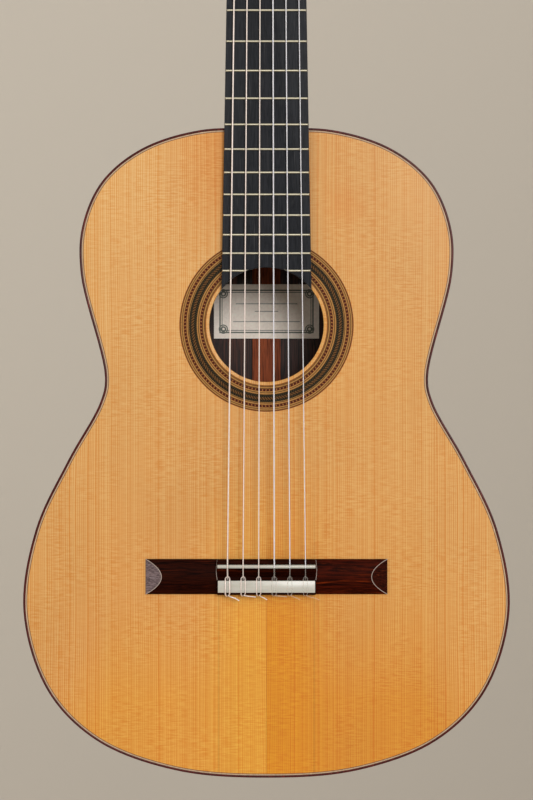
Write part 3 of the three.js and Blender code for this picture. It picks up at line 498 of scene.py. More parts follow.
@dataclass(frozen=True)
class Spruce(Finish):
    """Quarter-sawn spruce under French polish: close straight rings, cross silk and a warm golden gloss.

    The rings run up the board about 1.5 mm apart and mirror at the seam. Silk, the rays cut along their
    length, lies across them in short bright flecks. The board deepens in colour towards the tail.
    """

    tones: tuple[str, ...] = ("#cf9048", "#d39f5c", "#c8904c", "#ca8e48", "#cf8d35")
    heights: tuple[float, ...] = (-290.0, -350.0, -600.0, -680.0, -756.0)
    seam_board: str = "#d4932f"
    seam_reach: float = 35.5
    neck_board: str = "#c9853a"
    neck_share: float = 0.9
    warm_patch: float = 0.0
    early: tuple[float, float, float] = (1.08, 1.25, 1.58)
    late: tuple[float, float, float] = (0.94, 0.76, 0.48)
    ring: float = 1.5

    def paint(self, tree: bpy.types.NodeTree) -> None:
        """Fills the material's nodes."""
        place = self.millimetres(tree)
        split = tree.nodes.new("ShaderNodeSeparateXYZ")
        tree.links.new(place, split.inputs[0])
        across = add_node(tree, "Math", [split.outputs[0]], operation="ABSOLUTE")
        height = split.outputs[2]
        mirrored = add_node(tree, "CombineXYZ", [across, 0.0, height])
        toned = self.ground(tree, across, height)
        late_wood, ringed = self.rings(tree, mirrored, across)
        share = add_node(tree, "Math", [ringed, self.silk(tree, place)], operation="SUBTRACT", use_clamp=True)
        tint = add_node(tree, "Mix", {0: share, 4: self.early, 5: self.late}, 1, data_type="VECTOR")
        colour = add_node(tree, "VectorMath", [toned, tint], operation="MULTIPLY")
        # Broad clouds of lighter and darker wood, a hand's width across.
        cloud_at = add_node(tree, "VectorMath", [place, (0.022, 1.0, 0.011)], operation="MULTIPLY")
        cloud = add_node(tree, "TexNoise", {"Vector": cloud_at, "Scale": 1.0, "Detail": 2.0})
        cloud_tone = add_node(tree, "MapRange", [cloud, 0.3, 0.7, 0.97, 1.03])
        clouded = add_node(tree, "VectorMath", {0: colour, "Scale": cloud_tone}, operation="SCALE")
        bump = add_node(tree, "Bump", {"Strength": 0.04, "Distance": 0.0004, "Height": late_wood})
        self.surface(tree, {
            "Base Color": clouded, "Roughness": 0.42, "Normal": bump, "IOR": 1.5,
            "Specular IOR Level": 0.2, "Coat Weight": 0.12, "Coat Roughness": 0.12,
        })

    def ground(self, tree: bpy.types.NodeTree, across: bpy.types.NodeSocket,
               height: bpy.types.NodeSocket) -> bpy.types.NodeSocket:
        """Returns the ground colour: deeper down the board, paler along the seam and warmer by the neck."""
        top, bottom = self.heights[0], self.heights[-1]
        # Painted sheen: towards the outer edges of the lower bout the board takes the paler tones from higher
        # up, for the light's sheen along those edges.
        sheen_lift = add_node(tree, "MapRange", [across, 115.0, 165.0, 0.0, 90.0])
        sheen_lifted = add_node(tree, "Math", [height, sheen_lift])
        down = add_node(tree, "MapRange", [sheen_lifted, top, bottom, 0.0, 1.0])
        stops = [((at - top) / (bottom - top), linear(tone)) for at, tone in zip(self.heights, self.tones)]
        tone = add_node(tree, "ValToRGB", [down], stops=stops)
        in_board = add_node(tree, "MapRange", [across, 12.0, 62.0, 1.0, 0.0], interpolation_type="SMOOTHSTEP")
        below = add_node(tree, "MapRange", [height, -570.0, -700.0, 0.0, 1.0])
        share = add_node(tree, "Math", [in_board, below], operation="MULTIPLY", use_clamp=True)
        paler = add_node(tree, "Mix", {0: share, 6: tone, 7: linear(self.seam_board)}, 2, data_type="RGBA")
        off = add_node(tree, "Math", [across, self.seam_reach], operation="SUBTRACT")
        size = add_node(tree, "Math", [off], operation="ABSOLUTE")
        line = add_node(tree, "MapRange", [size, 0.2, 0.9, 0.16, 0.0])
        line_share = add_node(tree, "Math", [line, below], operation="MULTIPLY", use_clamp=True)
        kept = add_node(tree, "Math", [1.0, line_share], operation="SUBTRACT")
        lined = add_node(tree, "VectorMath", {0: paler, "Scale": kept}, operation="SCALE")
        beside = add_node(tree, "MapRange", [across, 38.0, 80.0, self.neck_share, 0.0])
        above = add_node(tree, "MapRange", [height, -440.0, -370.0, 0.0, 1.0])
        by_neck = add_node(tree, "Math", [beside, above], operation="MULTIPLY", use_clamp=True)
        spot_at = add_node(tree, "CombineXYZ", [across, 0.0, height])
        from_spot = add_node(tree, "VectorMath", [spot_at, WARM_PATCH_MIDDLE], "Value", operation="DISTANCE")
        warm_patch = add_node(tree, "MapRange", [from_spot, WARM_PATCH_CORE, WARM_PATCH_REACH, self.warm_patch, 0.0],
                         interpolation_type="SMOOTHSTEP")
        neck_share = add_node(tree, "Math", [by_neck, warm_patch], operation="MAXIMUM")
        return add_node(tree, "Mix", {0: neck_share, 6: lined, 7: linear(self.neck_board)}, 2,
                        data_type="RGBA")

    def rings(self, tree: bpy.types.NodeTree, mirrored: bpy.types.NodeSocket,
              across: bpy.types.NodeSocket) -> tuple[bpy.types.NodeSocket, bpy.types.NodeSocket]:
        """Returns where the late wood lies, and the share of late colour it gives: 0.5 on average."""
        slow = add_node(tree, "VectorMath", [mirrored, (0.010, 1.0, 0.0035)], operation="MULTIPLY")
        wander = add_node(tree, "TexNoise", {"Vector": slow, "Scale": 1.0, "Detail": 2.0})
        moved = add_node(tree, "Math", [wander, 7.0, across], operation="MULTIPLY_ADD")
        even = add_node(tree, "Math", [moved, 1.0 / self.ring], operation="MULTIPLY")
        years_at = add_node(tree, "Math", [moved, 0.33], operation="MULTIPLY")
        years = add_node(tree, "TexNoise", {"W": years_at, "Scale": 1.0, "Detail": 3.0},
                         noise_dimensions="1D")
        uneven = add_node(tree, "Math", [years, 1.5, even], operation="MULTIPLY_ADD")
        phase = add_node(tree, "Math", [uneven], operation="FRACT")
        late_wood = add_node(tree, "ValToRGB", [phase], stops=[
            (0.0, (0, 0, 0, 1)), (0.40, (0.1, 0.1, 0.1, 1)), (0.75, (1, 1, 1, 1)), (1.0, (0, 0, 0, 1))])
        # The rings show most towards the edges of the board, and in some years more than in others.
        outwards = add_node(tree, "MapRange", [across, 15.0, 130.0, 0.9, 1.5])
        patch_at = add_node(tree, "VectorMath", [mirrored, (0.06, 1.0, 0.008)], operation="MULTIPLY")
        patch = add_node(tree, "TexNoise", {"Vector": patch_at, "Scale": 1.0, "Detail": 3.0})
        patch_share = add_node(tree, "MapRange", [patch, 0.35, 0.65, 0.5, 1.0])
        strength = add_node(tree, "Math", [outwards, patch_share], operation="MULTIPLY")
        centred = add_node(tree, "Math", [late_wood, 0.37], operation="SUBTRACT")
        shown = add_node(tree, "Math", [centred, strength, 0.5], operation="MULTIPLY_ADD")
        year_tone = add_node(tree, "MapRange", [years, 0.25, 0.75, -0.30, 0.30])
        return late_wood, add_node(tree, "Math", [year_tone, patch_share, shown], operation="MULTIPLY_ADD")

    def silk(self, tree: bpy.types.NodeTree, place: bpy.types.NodeSocket) -> bpy.types.NodeSocket:
        """Returns how much paler or deeper the silk makes the wood, about zero."""
        fleck_at = add_node(tree, "VectorMath", [place, (0.12, 1.0, 0.95)], operation="MULTIPLY")
        fleck = add_node(tree, "TexNoise", {"Vector": fleck_at, "Scale": 1.0, "Detail": 2.0,
                                            "Distortion": 0.15})
        patches_at = add_node(tree, "VectorMath", [place, (0.035, 1.0, 0.025)], operation="MULTIPLY")
        patches = add_node(tree, "TexNoise", {"Vector": patches_at, "Scale": 1.0, "Detail": 1.0})
        patch_share = add_node(tree, "MapRange", [patches, 0.35, 0.65, 0.25, 1.0])
        rippled = add_node(tree, "MapRange", [fleck, 0.30, 0.70, -0.6, 0.6])
        return add_node(tree, "Math", [rippled, patch_share], operation="MULTIPLY")


@dataclass(frozen=True)
class DarkWood(Finish):
    """A dense dark wood, planed and polished: streaks of figure, with fine open pores along the fibres."""

    dark: str
    middle: str
    light: str
    grain: Grain = Grain.UP
    streak: float = 9.0
    roughness: float = 0.32
    coat: float = 0.08
    pores: float = 0.5
    gloss: float = 0.15

    def paint(self, tree: bpy.types.NodeTree) -> None:
        """Fills the material's nodes."""
        place = self.millimetres(tree, self.grain.value)
        figure_at = add_node(tree, "VectorMath", {0: place, "Scale": 1.0 / self.streak}, operation="SCALE")
        figure = add_node(tree, "TexNoise", {"Vector": figure_at, "Scale": 1.0, "Detail": 5.0,
                                             "Roughness": 0.62, "Distortion": 0.9})
        colour = add_node(tree, "ValToRGB", [figure], stops=[
            (0.30, linear(self.dark)), (0.47, linear(self.middle)), (0.56, linear(self.dark)),
            (0.70, linear(self.light))])
        pore_at = add_node(tree, "VectorMath", {0: place, "Scale": 1.6}, operation="SCALE")
        pore = add_node(tree, "TexNoise", {"Vector": pore_at, "Scale": 1.0, "Detail": 1.0})
        pore_tone = add_node(tree, "MapRange", [pore, 0.36, 0.52, 1.0 - self.pores, 1.0])
        toned = add_node(tree, "VectorMath", {0: colour, "Scale": pore_tone}, operation="SCALE")
        bump = add_node(tree, "Bump", {"Strength": 0.12, "Distance": 0.0003, "Height": pore})
        self.surface(tree, {
            "Base Color": toned, "Roughness": self.roughness, "Normal": bump, "IOR": 1.5,
            "Specular IOR Level": self.gloss, "Coat Weight": self.coat, "Coat Roughness": 0.15,
        })


@dataclass(frozen=True)
class Marquetry(Finish):
    """Strips of dyed wood glued edge to edge round the soundhole, scraped flush and polished.

    A dashed strip steps between dark red and straw every 2.6 mm, a rope strip is a chain of slanting
    brown beads on black, a checked strip is black with fine end-grain ticks, and a lined strip is a
    sandwich of straw and olive veneers a millimetre apart.
    """

    inlay: Inlay
    ground: str
    figure: str
    radius: float = 55.0
    pitch: float = 2.5
    slant: float = 0.0

    def paint(self, tree: bpy.types.NodeTree) -> None:
        """Fills the material's nodes."""
        centre = DATUM.body @ Vector((0.0, 0.0, SOUNDHOLE_Z))
        place = self.millimetres(tree, centre=centre)
        split = tree.nodes.new("ShaderNodeSeparateXYZ")
        tree.links.new(place, split.inputs[0])
        angle = add_node(tree, "Math", [split.outputs[0], split.outputs[2]], operation="ARCTAN2")
        flat = add_node(tree, "VectorMath", [place, (1.0, 0.0, 1.0)], operation="MULTIPLY")
        reach = add_node(tree, "VectorMath", [flat], "Value", operation="LENGTH")
        repeats = round(2 * math.pi * self.radius / self.pitch)
        steps = add_node(tree, "Math", [angle, repeats / (2 * math.pi)], operation="MULTIPLY")
        leaning = add_node(tree, "Math", [reach, self.slant / self.pitch, steps], operation="MULTIPLY_ADD")
        lines = add_node(tree, "Math", [reach, self.pitch], operation="DIVIDE")
        repeat = lines if self.inlay is Inlay.LINED else leaning
        phase = add_node(tree, "Math", [repeat, 1.0], operation="FLOORED_MODULO")
        shares = {
            Inlay.PLAIN: [(0.0, 0.25), (1.0, 0.25)],
            Inlay.DASHED: [(0.0, 0.2), (0.10, 1.0), (0.68, 1.0), (0.78, 0.2), (1.0, 0.2)],
            Inlay.ROPE: [(0.0, 0.0), (0.22, 0.1), (0.45, 1.0), (0.75, 1.0), (1.0, 0.0)],
            Inlay.CHECKED: [(0.0, 0.0), (0.4, 0.0), (0.7, 0.8), (1.0, 0.0)],
            Inlay.LINED: [(0.0, 0.15), (0.25, 0.15), (0.45, 1.0), (0.85, 1.0), (1.0, 0.15)],
        }[self.inlay]
        share = add_node(tree, "ValToRGB", [phase], stops=[(at, (v, v, v, 1.0)) for at, v in shares])
        colour = add_node(tree, "Mix", {0: share, 6: linear(self.ground), 7: linear(self.figure)}, 2,
                          data_type="RGBA")
        fibre = add_node(tree, "TexNoise", {"Vector": place, "Scale": 0.9, "Detail": 3.0})
        fibre_tone = add_node(tree, "MapRange", [fibre, 0.3, 0.7, 0.82, 1.18])
        toned = add_node(tree, "VectorMath", {0: colour, "Scale": fibre_tone}, operation="SCALE")
        self.surface(tree, {"Base Color": toned, "Roughness": 0.45, "Specular IOR Level": 0.06,
                            "Coat Weight": 0.03, "Coat Roughness": 0.12})


@dataclass(frozen=True)
class Bone(Finish):
    """Bleached bone, filed and polished: an even cream with a faint cloudy grain and a soft gloss."""

    colour: str = "#bebdb5"
    cloud: str = "#b0ada2"

    def paint(self, tree: bpy.types.NodeTree) -> None:
        """Fills the material's nodes."""
        place = self.millimetres(tree, (0.08, 1.0, 0.6))
        cloud = add_node(tree, "TexNoise", {"Vector": place, "Scale": 0.8, "Detail": 4.0})
        colour = add_node(tree, "ValToRGB", [cloud],
                          stops=[(0.3, linear(self.colour)), (0.8, linear(self.cloud))])
        self.surface(tree, {"Base Color": colour, "Roughness": 0.3, "IOR": 1.54,
                            "Subsurface Weight": 0.05, "Subsurface Scale": 0.001})


@dataclass(frozen=True)
class Metal(Finish):
    """A polished metal: drawn or turned, lacquered, with faint smears that break up its shine."""

    colour: str
    roughness: float = 0.25

    def paint(self, tree: bpy.types.NodeTree) -> None:
        """Fills the material's nodes."""
        place = self.millimetres(tree)
        smear = add_node(tree, "TexNoise", {"Vector": place, "Scale": 0.35, "Detail": 3.0})
        tone = add_node(tree, "MapRange", [smear, 0.3, 0.7, 0.9, 1.05])
        colour = add_node(tree, "VectorMath", {0: linear(self.colour)[:3], "Scale": tone}, operation="SCALE")
        rough = add_node(tree, "MapRange", [smear, 0.3, 0.7, self.roughness * 0.8, self.roughness * 1.3])
        self.surface(tree, {"Base Color": colour, "Roughness": rough, "Metallic": 1.0})


@dataclass(frozen=True)
class WoundSilver(Finish):
    """Silver-plated copper wire wound round a core: fine rings, drawn 0.9 mm apart so that they show."""

    colour: str = "#fff4ee"
    groove_shade: str = "#cdbcb4"

    def paint(self, tree: bpy.types.NodeTree) -> None:
        """Fills the material's nodes."""
        place = self.millimetres(tree)
        wave = add_node(tree, "TexWave", {"Vector": place, "Scale": 0.35, "Distortion": 0.2}, 1,
                        wave_type="BANDS", bands_direction="Z", wave_profile="SIN")
        # Painted shade: the darker colour between the turns stands for the shade in the grooves.
        colour = add_node(tree, "Mix", {0: wave, 6: linear(self.groove_shade), 7: linear(self.colour)}, 2,
                          data_type="RGBA")
        bump = add_node(tree, "Bump", {"Strength": 0.3, "Distance": 0.0001, "Height": wave})
        self.surface(tree, {"Base Color": colour, "Roughness": 0.38, "Metallic": 0.35, "Normal": bump})


@dataclass(frozen=True)
class Polymer(Finish):
    """A moulded or extruded plastic: smooth, slightly cloudy inside, with a clean highlight."""

    colour: str
    cloud: str
    roughness: float = 0.2
    cloud_size: float = 4.0
    see_through: float = 0.0
    alpha: float = 1.0

    def paint(self, tree: bpy.types.NodeTree) -> None:
        """Fills the material's nodes."""
        place = self.millimetres(tree)
        cloud = add_node(tree, "TexNoise", {"Vector": place, "Scale": 1.0 / self.cloud_size, "Detail": 4.0,
                                            "Distortion": 1.2})
        colour = add_node(tree, "ValToRGB", [cloud],
                          stops=[(0.35, linear(self.colour)), (0.68, linear(self.cloud))])
        self.surface(tree, {"Base Color": colour, "Roughness": self.roughness, "IOR": 1.5,
                            "Transmission Weight": self.see_through, "Alpha": self.alpha})


@dataclass(frozen=True)
class RuledPaper(Finish):
    """A letterpress label on laid paper: a double ruled border, corner rings and blank writing lines."""

    width: float = 82.8
    height: float = 42.7
    middle_z: float = 350.25
    paper: str = "#fff3e6"
    ink: str = "#6d7269"

    def paint(self, tree: bpy.types.NodeTree) -> None:
        """Fills the material's nodes."""
        centre = DATUM.body @ Vector((0.0, 0.0, self.middle_z))
        place = self.millimetres(tree, centre=centre)
        folded = add_node(tree, "VectorMath", [place], operation="ABSOLUTE")
        split = tree.nodes.new("ShaderNodeSeparateXYZ")
        tree.links.new(folded, split.inputs[0])
        across, up = split.outputs[0], split.outputs[2]
        inset = 7.4
        corner = (self.width / 2 - inset, self.height / 2 - inset)
        # The border's distance from the nearer pair of edges, and each corner ring's distance from
        # its middle.
        from_side = add_node(tree, "Math", [across, corner[0]], operation="SUBTRACT")
        from_top = add_node(tree, "Math", [up, corner[1]], operation="SUBTRACT")
        border = add_node(tree, "Math", [from_side, from_top], operation="MAXIMUM")
        ring_at = add_node(tree, "CombineXYZ", [from_side, 0.0, from_top])
        ring = add_node(tree, "VectorMath", [ring_at], "Value", operation="LENGTH")
        marks = []
        for distance, half in ((2.6, 0.42), (1.0, 0.16)):
            off = add_node(tree, "Math", [border, distance], operation="SUBTRACT")
            size = add_node(tree, "Math", [off], operation="ABSOLUTE")
            marks.append(add_node(tree, "MapRange", [size, half, half + 0.25, 1.0, 0.0]))
        for radius, half in ((3.2, 0.3), (1.7, 0.45)):
            off = add_node(tree, "Math", [ring, radius], operation="SUBTRACT")
            size = add_node(tree, "Math", [off], operation="ABSOLUTE")
            marks.append(add_node(tree, "MapRange", [size, half, half + 0.25, 1.0, 0.0]))
        for z, reach in ((6.0, 24.0), (0.0, 9.0), (-8.0, 26.0)):
            raw = tree.nodes.new("ShaderNodeSeparateXYZ")
            tree.links.new(place, raw.inputs[0])
            off = add_node(tree, "Math", [raw.outputs[2], z], operation="SUBTRACT")
            size = add_node(tree, "Math", [off], operation="ABSOLUTE")
            line = add_node(tree, "MapRange", [size, 0.18, 0.5, 0.8, 0.0])
            end = add_node(tree, "MapRange", [across, reach, reach + 0.5, 1.0, 0.0])
            marks.append(add_node(tree, "Math", [line, end], operation="MULTIPLY"))
        share = marks[0]
        for mark in marks[1:]:
            share = add_node(tree, "Math", [share, mark], operation="MAXIMUM")
        fibre = add_node(tree, "TexNoise", {"Vector": place, "Scale": 0.5, "Detail": 5.0})
        fibre_tone = add_node(tree, "MapRange", [fibre, 0.3, 0.7, 0.92, 1.06])
        inked = add_node(tree, "Mix", {0: share, 6: linear(self.paper), 7: linear(self.ink)}, 2,
                         data_type="RGBA")
        colour = add_node(tree, "VectorMath", {0: inked, "Scale": fibre_tone}, operation="SCALE")
        self.surface(tree, {"Base Color": colour, "Roughness": 0.85})


@dataclass(frozen=True)
class Paint(Finish):
    """A studio paper backdrop: matt and warm grey; a little deeper low down and to the right as painted
    shade.
    """

    high: str = "#beb7ac"
    low: str = "#a59e94"

    def paint(self, tree: bpy.types.NodeTree) -> None:
        """Fills the material's nodes."""
        place = add_node(tree, "TexCoord", output="Object")
        # Painted shade: the colour darkens towards the lower right, standing for the light falling off from
        # the upper left.
        painted_falloff = add_node(tree, "VectorMath", [place, (-0.21, 0.0, 0.25)], "Value", operation="DOT_PRODUCT")
        share = add_node(tree, "MapRange", [painted_falloff, -0.85, 0.58, 0.0, 1.0])
        colour = add_node(tree, "Mix", {0: share, 6: linear(self.low), 7: linear(self.high)}, 2,
                          data_type="RGBA")
        self.surface(tree, {"Base Color": colour, "Roughness": 0.95, "Specular IOR Level": 0.0})


SPRUCE_BASS = Spruce("polished_spruce_bass", "spruce")
SPRUCE_TREBLE = Spruce("polished_spruce_treble", "spruce",
                       ("#ca9049", "#ca934e", "#ca914a", "#cb8e42", "#c88123"),
                       seam_board="#cb8113", neck_share=0.2, warm_patch=0.55)
SPRUCE_BARE = DarkWood("planed_spruce", "spruce", "#b98a52", "#c79a62", "#d0a570", streak=5.0,
                       roughness=0.7, coat=0.0, pores=0.08)
ROSEWOOD = DarkWood("polished_rosewood", "rosewood", "#1a0d0b", "#43221a", "#623425", streak=11.0)
ROSEWOOD_ACROSS = DarkWood("bridge_rosewood", "rosewood", "#0d0201", "#2b0b03", "#521a06", Grain.ACROSS,
                           streak=3.2, roughness=0.5, coat=0.0, gloss=0.02)
ROSEWOOD_RED = DarkWood("bridge_red_rosewood", "rosewood", "#1a0401", "#431104", "#702507", Grain.ACROSS,
                        streak=3.2, roughness=0.5, coat=0.0, gloss=0.02)
# Painted highlight: the bass tip's flat is coloured greyish for the light from the left caught on it; the
# treble flat below keeps the wood's own dark colour.
TIP_HIGHLIGHT_BASS = DarkWood("bridge_tip_painted_highlight", "rosewood", "#564648", "#7b6b6d", "#95878a", Grain.ACROSS,
                        streak=1.6, roughness=0.5, coat=0.0, gloss=0.1)
SCRAPED_TREBLE = DarkWood("scraped_rosewood_treble", "rosewood", "#1a0401", "#3c1206", "#5a2410",
                          Grain.ACROSS, streak=1.6, roughness=0.5, coat=0.0, gloss=0.02)
# Painted highlight: a pale line along the bridge's tip arcs and shoulders, standing for the light caught by
# their polished edges.
EDGE_HIGHLIGHT = DarkWood("painted_edge_highlight", "rosewood", "#9c8c84", "#b3a49b", "#c4b7ae", streak=3.0, roughness=0.4,
                     coat=0.0, pores=0.1)
ROSEWOOD_LINE = DarkWood("binding_rosewood", "rosewood", "#3c0a05", "#501008", "#68190c", streak=5.0,
                         coat=0.1, gloss=0.15)
CEDAR = DarkWood("neck_cedar", "cedar", "#6a3519", "#8a4c27", "#a0613a", streak=14.0, roughness=0.38,
                 coat=0.35, pores=0.3)
MAHOGANY = DarkWood("strip_mahogany", "cedar", "#74341a", "#984a26", "#b06034", streak=7.0,
                    roughness=0.6, coat=0.0)
# Partly painted sheen: the ebony's grey-blue tones are its near-black wood lightened by the lamps' reflection
# on the satin board, drawn into the colour with the gloss turned down.
EBONY = DarkWood("oiled_ebony", "ebony", "#1e2024", "#2b2d32", "#38393d", streak=1.6, roughness=0.45,
                 coat=0.0, pores=0.2, gloss=0.06)
MAPLE_LINE = DarkWood("maple_line", "marquetry", "#aa9075", "#b89d82", "#c6ab90", streak=6.0,
                      roughness=0.4, pores=0.08)
BROWN_LINE = DarkWood("brown_line", "marquetry", "#6b4528", "#7a5232", "#86603c", streak=6.0,
                      roughness=0.4, pores=0.1)
BONE = Bone("polished_bone", "bone")
NICKEL_SILVER = Metal("nickel_silver", "brass", "#c9c3ae", 0.45)
BRASS = Metal("lacquered_brass", "brass", "#cfa658", 0.24)
STEEL = Metal("turned_steel", "brass", "#b9b7b2", 0.25)
WOUND = WoundSilver("silver_winding", "silver_wound")
NYLON = Polymer("clear_nylon", "nylon", "#f0f0fa", "#f8f8fd", 0.25, see_through=0.3)
# The slack ends of clear strings: the same nylon, out of the glare.
NYLON_TIE = Polymer("slack_clear_nylon", "nylon", "#d9d2ca", "#e6dfd6", 0.2, alpha=0.15)
ROLLER_WHITE = Polymer("white_roller", "roller_plastic", "#e8e2d4", "#ded6c4", 0.35)
PEARLOID = Polymer("pearl_button", "pearloid", "#efe8d8", "#c8bda6", 0.16, 3.0)
LABEL = RuledPaper("label_paper", "paper")
BACKDROP = Paint("paper_backdrop", "")


# ---- The body ------------------------------------------------------------------------------------


@dataclass(frozen=True)
class Outline:
    """The outline of the body, from the tail round the treble side to the neck and back."""

    half: tuple[tuple[float, float], ...] = (
        (0, 0), (67.5, 5.5), (126, 27.5), (162.5, 64.5), (180.5, 123.5), (171.5, 184), (147.5, 235.5),
        (123.5, 279), (120, 297.5), (138, 374.5), (137, 409), (122.5, 442.5), (93, 467), (49, 481), (0, 482),
    )
    steps: int = 10

    def ring(self, inset: float = 0.0) -> list[Vector]:
        """Returns the closed outline, moved inwards by an inset."""
        treble = [Vector((x, 0.0, z)) for x, z in self.half]
        bass = [Vector((-x, 0.0, z)) for x, z in self.half[-2:0:-1]]
        line = smooth_line([*treble, *bass], self.steps, closed=True)
        moved = []
        for i, point in enumerate(line):
            along = (line[(i + 1) % len(line)] - line[i - 1]).normalized()
            moved.append(point - Vector((along.z, 0.0, -along.x)) * inset)
        return moved

    def side(self, sign: int, inset: float = 0.0, clear_tail: float = 0.0,
             clear_neck: float = 0.0) -> list[Vector]:
        """Returns one side of the outline from the tail to the neck.

        Args:
            sign: 1 for the treble side, -1 for the bass side.
            inset: how far the line is moved inwards.
            clear_tail: where it starts, measured from the centre line.
            clear_neck: where it ends, measured the same way.
        """
        line = self.ring(inset)[: (len(self.half) - 1) * self.steps + 1]
        middle = len(line) // 2
        for clear, low in ((clear_tail, True), (clear_neck, False)):
            ends = [i for i in range(len(line)) if (i < middle) == low and line[i].x > clear + 0.01]
            at = ends[0] - 1 if low else ends[-1]
            start, end = line[at], line[at + 1]
            share = (clear - start.x) / (end.x - start.x)
            edge = start.lerp(end, share)
            line = [edge, *line[at + 1:]] if low else [*line[: at + 1], edge]
            middle = len(line) // 2
        return [Vector((sign * p.x, 0.0, p.z)) for p in line]


@dataclass(frozen=True)
class ArchedBack:
    """The arched surface of the outside of the back."""

    at_tail: float = 99.0
    at_neck: float = 92.0
    arch: float = 2.5
    radius: float = 4200.0

    def y(self, x: float, z: float) -> float:
        """Returns how far behind the soundboard's face the back lies."""
        share = z / BODY_LENGTH
        taper = self.at_tail + (self.at_neck - self.at_tail) * share
        return taper + self.arch * 4 * share * (1 - share) - x * x / (2 * self.radius)


@dataclass
class Soundbox:
    """The box: soundboard, rosette, bent sides, arched back, edge work and what shows inside it."""

    outline: Outline = field(default_factory=Outline)
    back: ArchedBack = field(default_factory=ArchedBack)
    binding: float = 1.8
    straw_line: float = 0.85
    brown_line: float = 0.45
    binding_height: float = 5.0
    side_thickness: float = 2.2
    top_thickness: float = 2.5
    back_thickness: float = 2.6
    rosette_outer: float = 64.6
    spruce_ring: float = 45.0
    graft: float = 3.4
    # From the outside in: each strip's width, pattern, two colours, pitch and slant.
    strips: tuple[tuple[float, Inlay, str, str, float, float], ...] = (
        (0.7, Inlay.PLAIN, "#6b3714", "#7c4018", 1.0, 0.0),
        (2.4, Inlay.LINED, "#2c1d0c", "#a97a42", 1.3, 0.0),
        (0.35, Inlay.PLAIN, "#5e3518", "#6e4220", 1.0, 0.0),
        (1.3, Inlay.DASHED, "#9c6836", "#400e07", 2.6, 0.2),
        (0.35, Inlay.PLAIN, "#5e3518", "#6e4220", 1.0, 0.0),
        (1.9, Inlay.LINED, "#2c1d0c", "#a97a42", 1.45, 0.0),
        (1.8, Inlay.CHECKED, "#0e0a06", "#4c4024", 1.5, 0.5),
        (1.9, Inlay.ROPE, "#150b04", "#6a4722", 2.1, 0.9),
        (1.8, Inlay.CHECKED, "#0e0a06", "#4c4024", 1.5, -0.5),
        (2.5, Inlay.LINED, "#2c1d0c", "#a97a42", 1.4, 0.0),
        (0.35, Inlay.PLAIN, "#5e3518", "#6e4220", 1.0, 0.0),
        (1.3, Inlay.DASHED, "#9c6836", "#400e07", 2.6, -0.2),
        (0.35, Inlay.PLAIN, "#5e3518", "#6e4220", 1.0, 0.0),
        (1.9, Inlay.LINED, "#2c1d0c", "#a97a42", 1.35, 0.0),
        (1.0, Inlay.PLAIN, "#744218", "#8a5020", 1.0, 0.0),
    )

    def build(self) -> None:
        """Builds every piece of the box."""
        self.build_soundboard()
        self.build_rosette()
        self.build_edges()
        self.build_sides()
        self.build_back()
        self.build_inside()

    def edge_width(self) -> float:
        """Returns how far the edge work reaches in from the outline."""
        return self.binding + self.straw_line + self.brown_line

    def arched(self, solid: Solid, behind: float, front: float | None = None) -> Solid:
        """Lays a shape drawn between y 0 and 1 on the back.

        Args:
            solid: the shape.
            behind: how far in front of the back's outside its rear face lies.
            front: the same for its front face.

        Returns:
            The shape, curved to the back.
        """
        def rule(p: Vector) -> Vector:
            inwards = behind if p.y > 0.5 or front is None else front
            return Vector((p.x, self.back.y(p.x, p.z) - inwards, p.z))
        return solid.shaped(rule)

    def build_soundboard(self) -> None:
        """Builds the two bookmatched halves, each with its part of the ring inside the rosette."""
        gap = 0.04
        centre = (0.0, SOUNDHOLE_Z)
        for sign, name, look in ((-1, "bass", SPRUCE_BASS), (1, "treble", SPRUCE_TREBLE)):
            edge = self.outline.side(sign, self.edge_width() + gap, gap, gap)
            start = math.degrees(math.asin(gap / self.rosette_outer))
            around = [Vector((sign * p.x, 0, p.z)) for p in
                      arc(centre, self.rosette_outer + gap, 90 - start, start - 90, 72)]
            half = Solid.plate([*edge, *around], (0, self.top_thickness, 0))
            outer = [Vector((sign * p.x, 0, p.z)) for p in
                     arc(centre, self.spruce_ring - gap, 90 - start, start - 90, 64)]
            inner = [self.hole_edge(Vector((sign * p.x, 0, p.z))) for p in
                     arc(centre, SOUNDHOLE_RADIUS, start - 90, 90 - start, 64)]
            ring = Solid.plate([*outer, *inner], (0, self.top_thickness, 0))
            ring.bevelled(0.5, 3, 60, lambda p: abs(math.hypot(p.x, p.z - SOUNDHOLE_Z) - SOUNDHOLE_RADIUS)
                          < 0.2 and p.y < 0.1)
            half.joined(ring).finish(f"soundboard_{name}", look, stands_for=[f"soundboard_{name}_half"])

    @staticmethod
    def hole_edge(point: Vector) -> Vector:
        """Returns a point of the soundhole's edge, let back by 1.2 mm where the fingerboard covers it."""
        if point.z <= SOUNDHOLE_Z + 30:
            return point
        middle = Vector((0.0, 0.0, SOUNDHOLE_Z))
        return middle + (point - middle) * (1.0 + 1.2 / SOUNDHOLE_RADIUS)

    def build_rosette(self) -> None:
        """Builds the rosette from its strips, each a ring of its own let in flush."""
        outer = self.rosette_outer
        for number, (width, inlay, ground, figure, pitch, slant) in enumerate(self.strips, 1):
            inner = max(outer - width, self.spruce_ring)
            look = Marquetry(f"rosette_strip_{number}", "marquetry", inlay, ground, figure,
                             (outer + inner) / 2, pitch, slant)
            depth = self.top_thickness
            ring = Solid.spun([(inner, 0.0), (outer, 0.0), (outer, depth), (inner, depth)], 144)
            ring.moved(along_y((0, 0, SOUNDHOLE_Z)))
            ring.finish(f"rosette_strip_{number:02d}", look, stands_for=["rosette"] if number == 1 else ())
            outer = inner

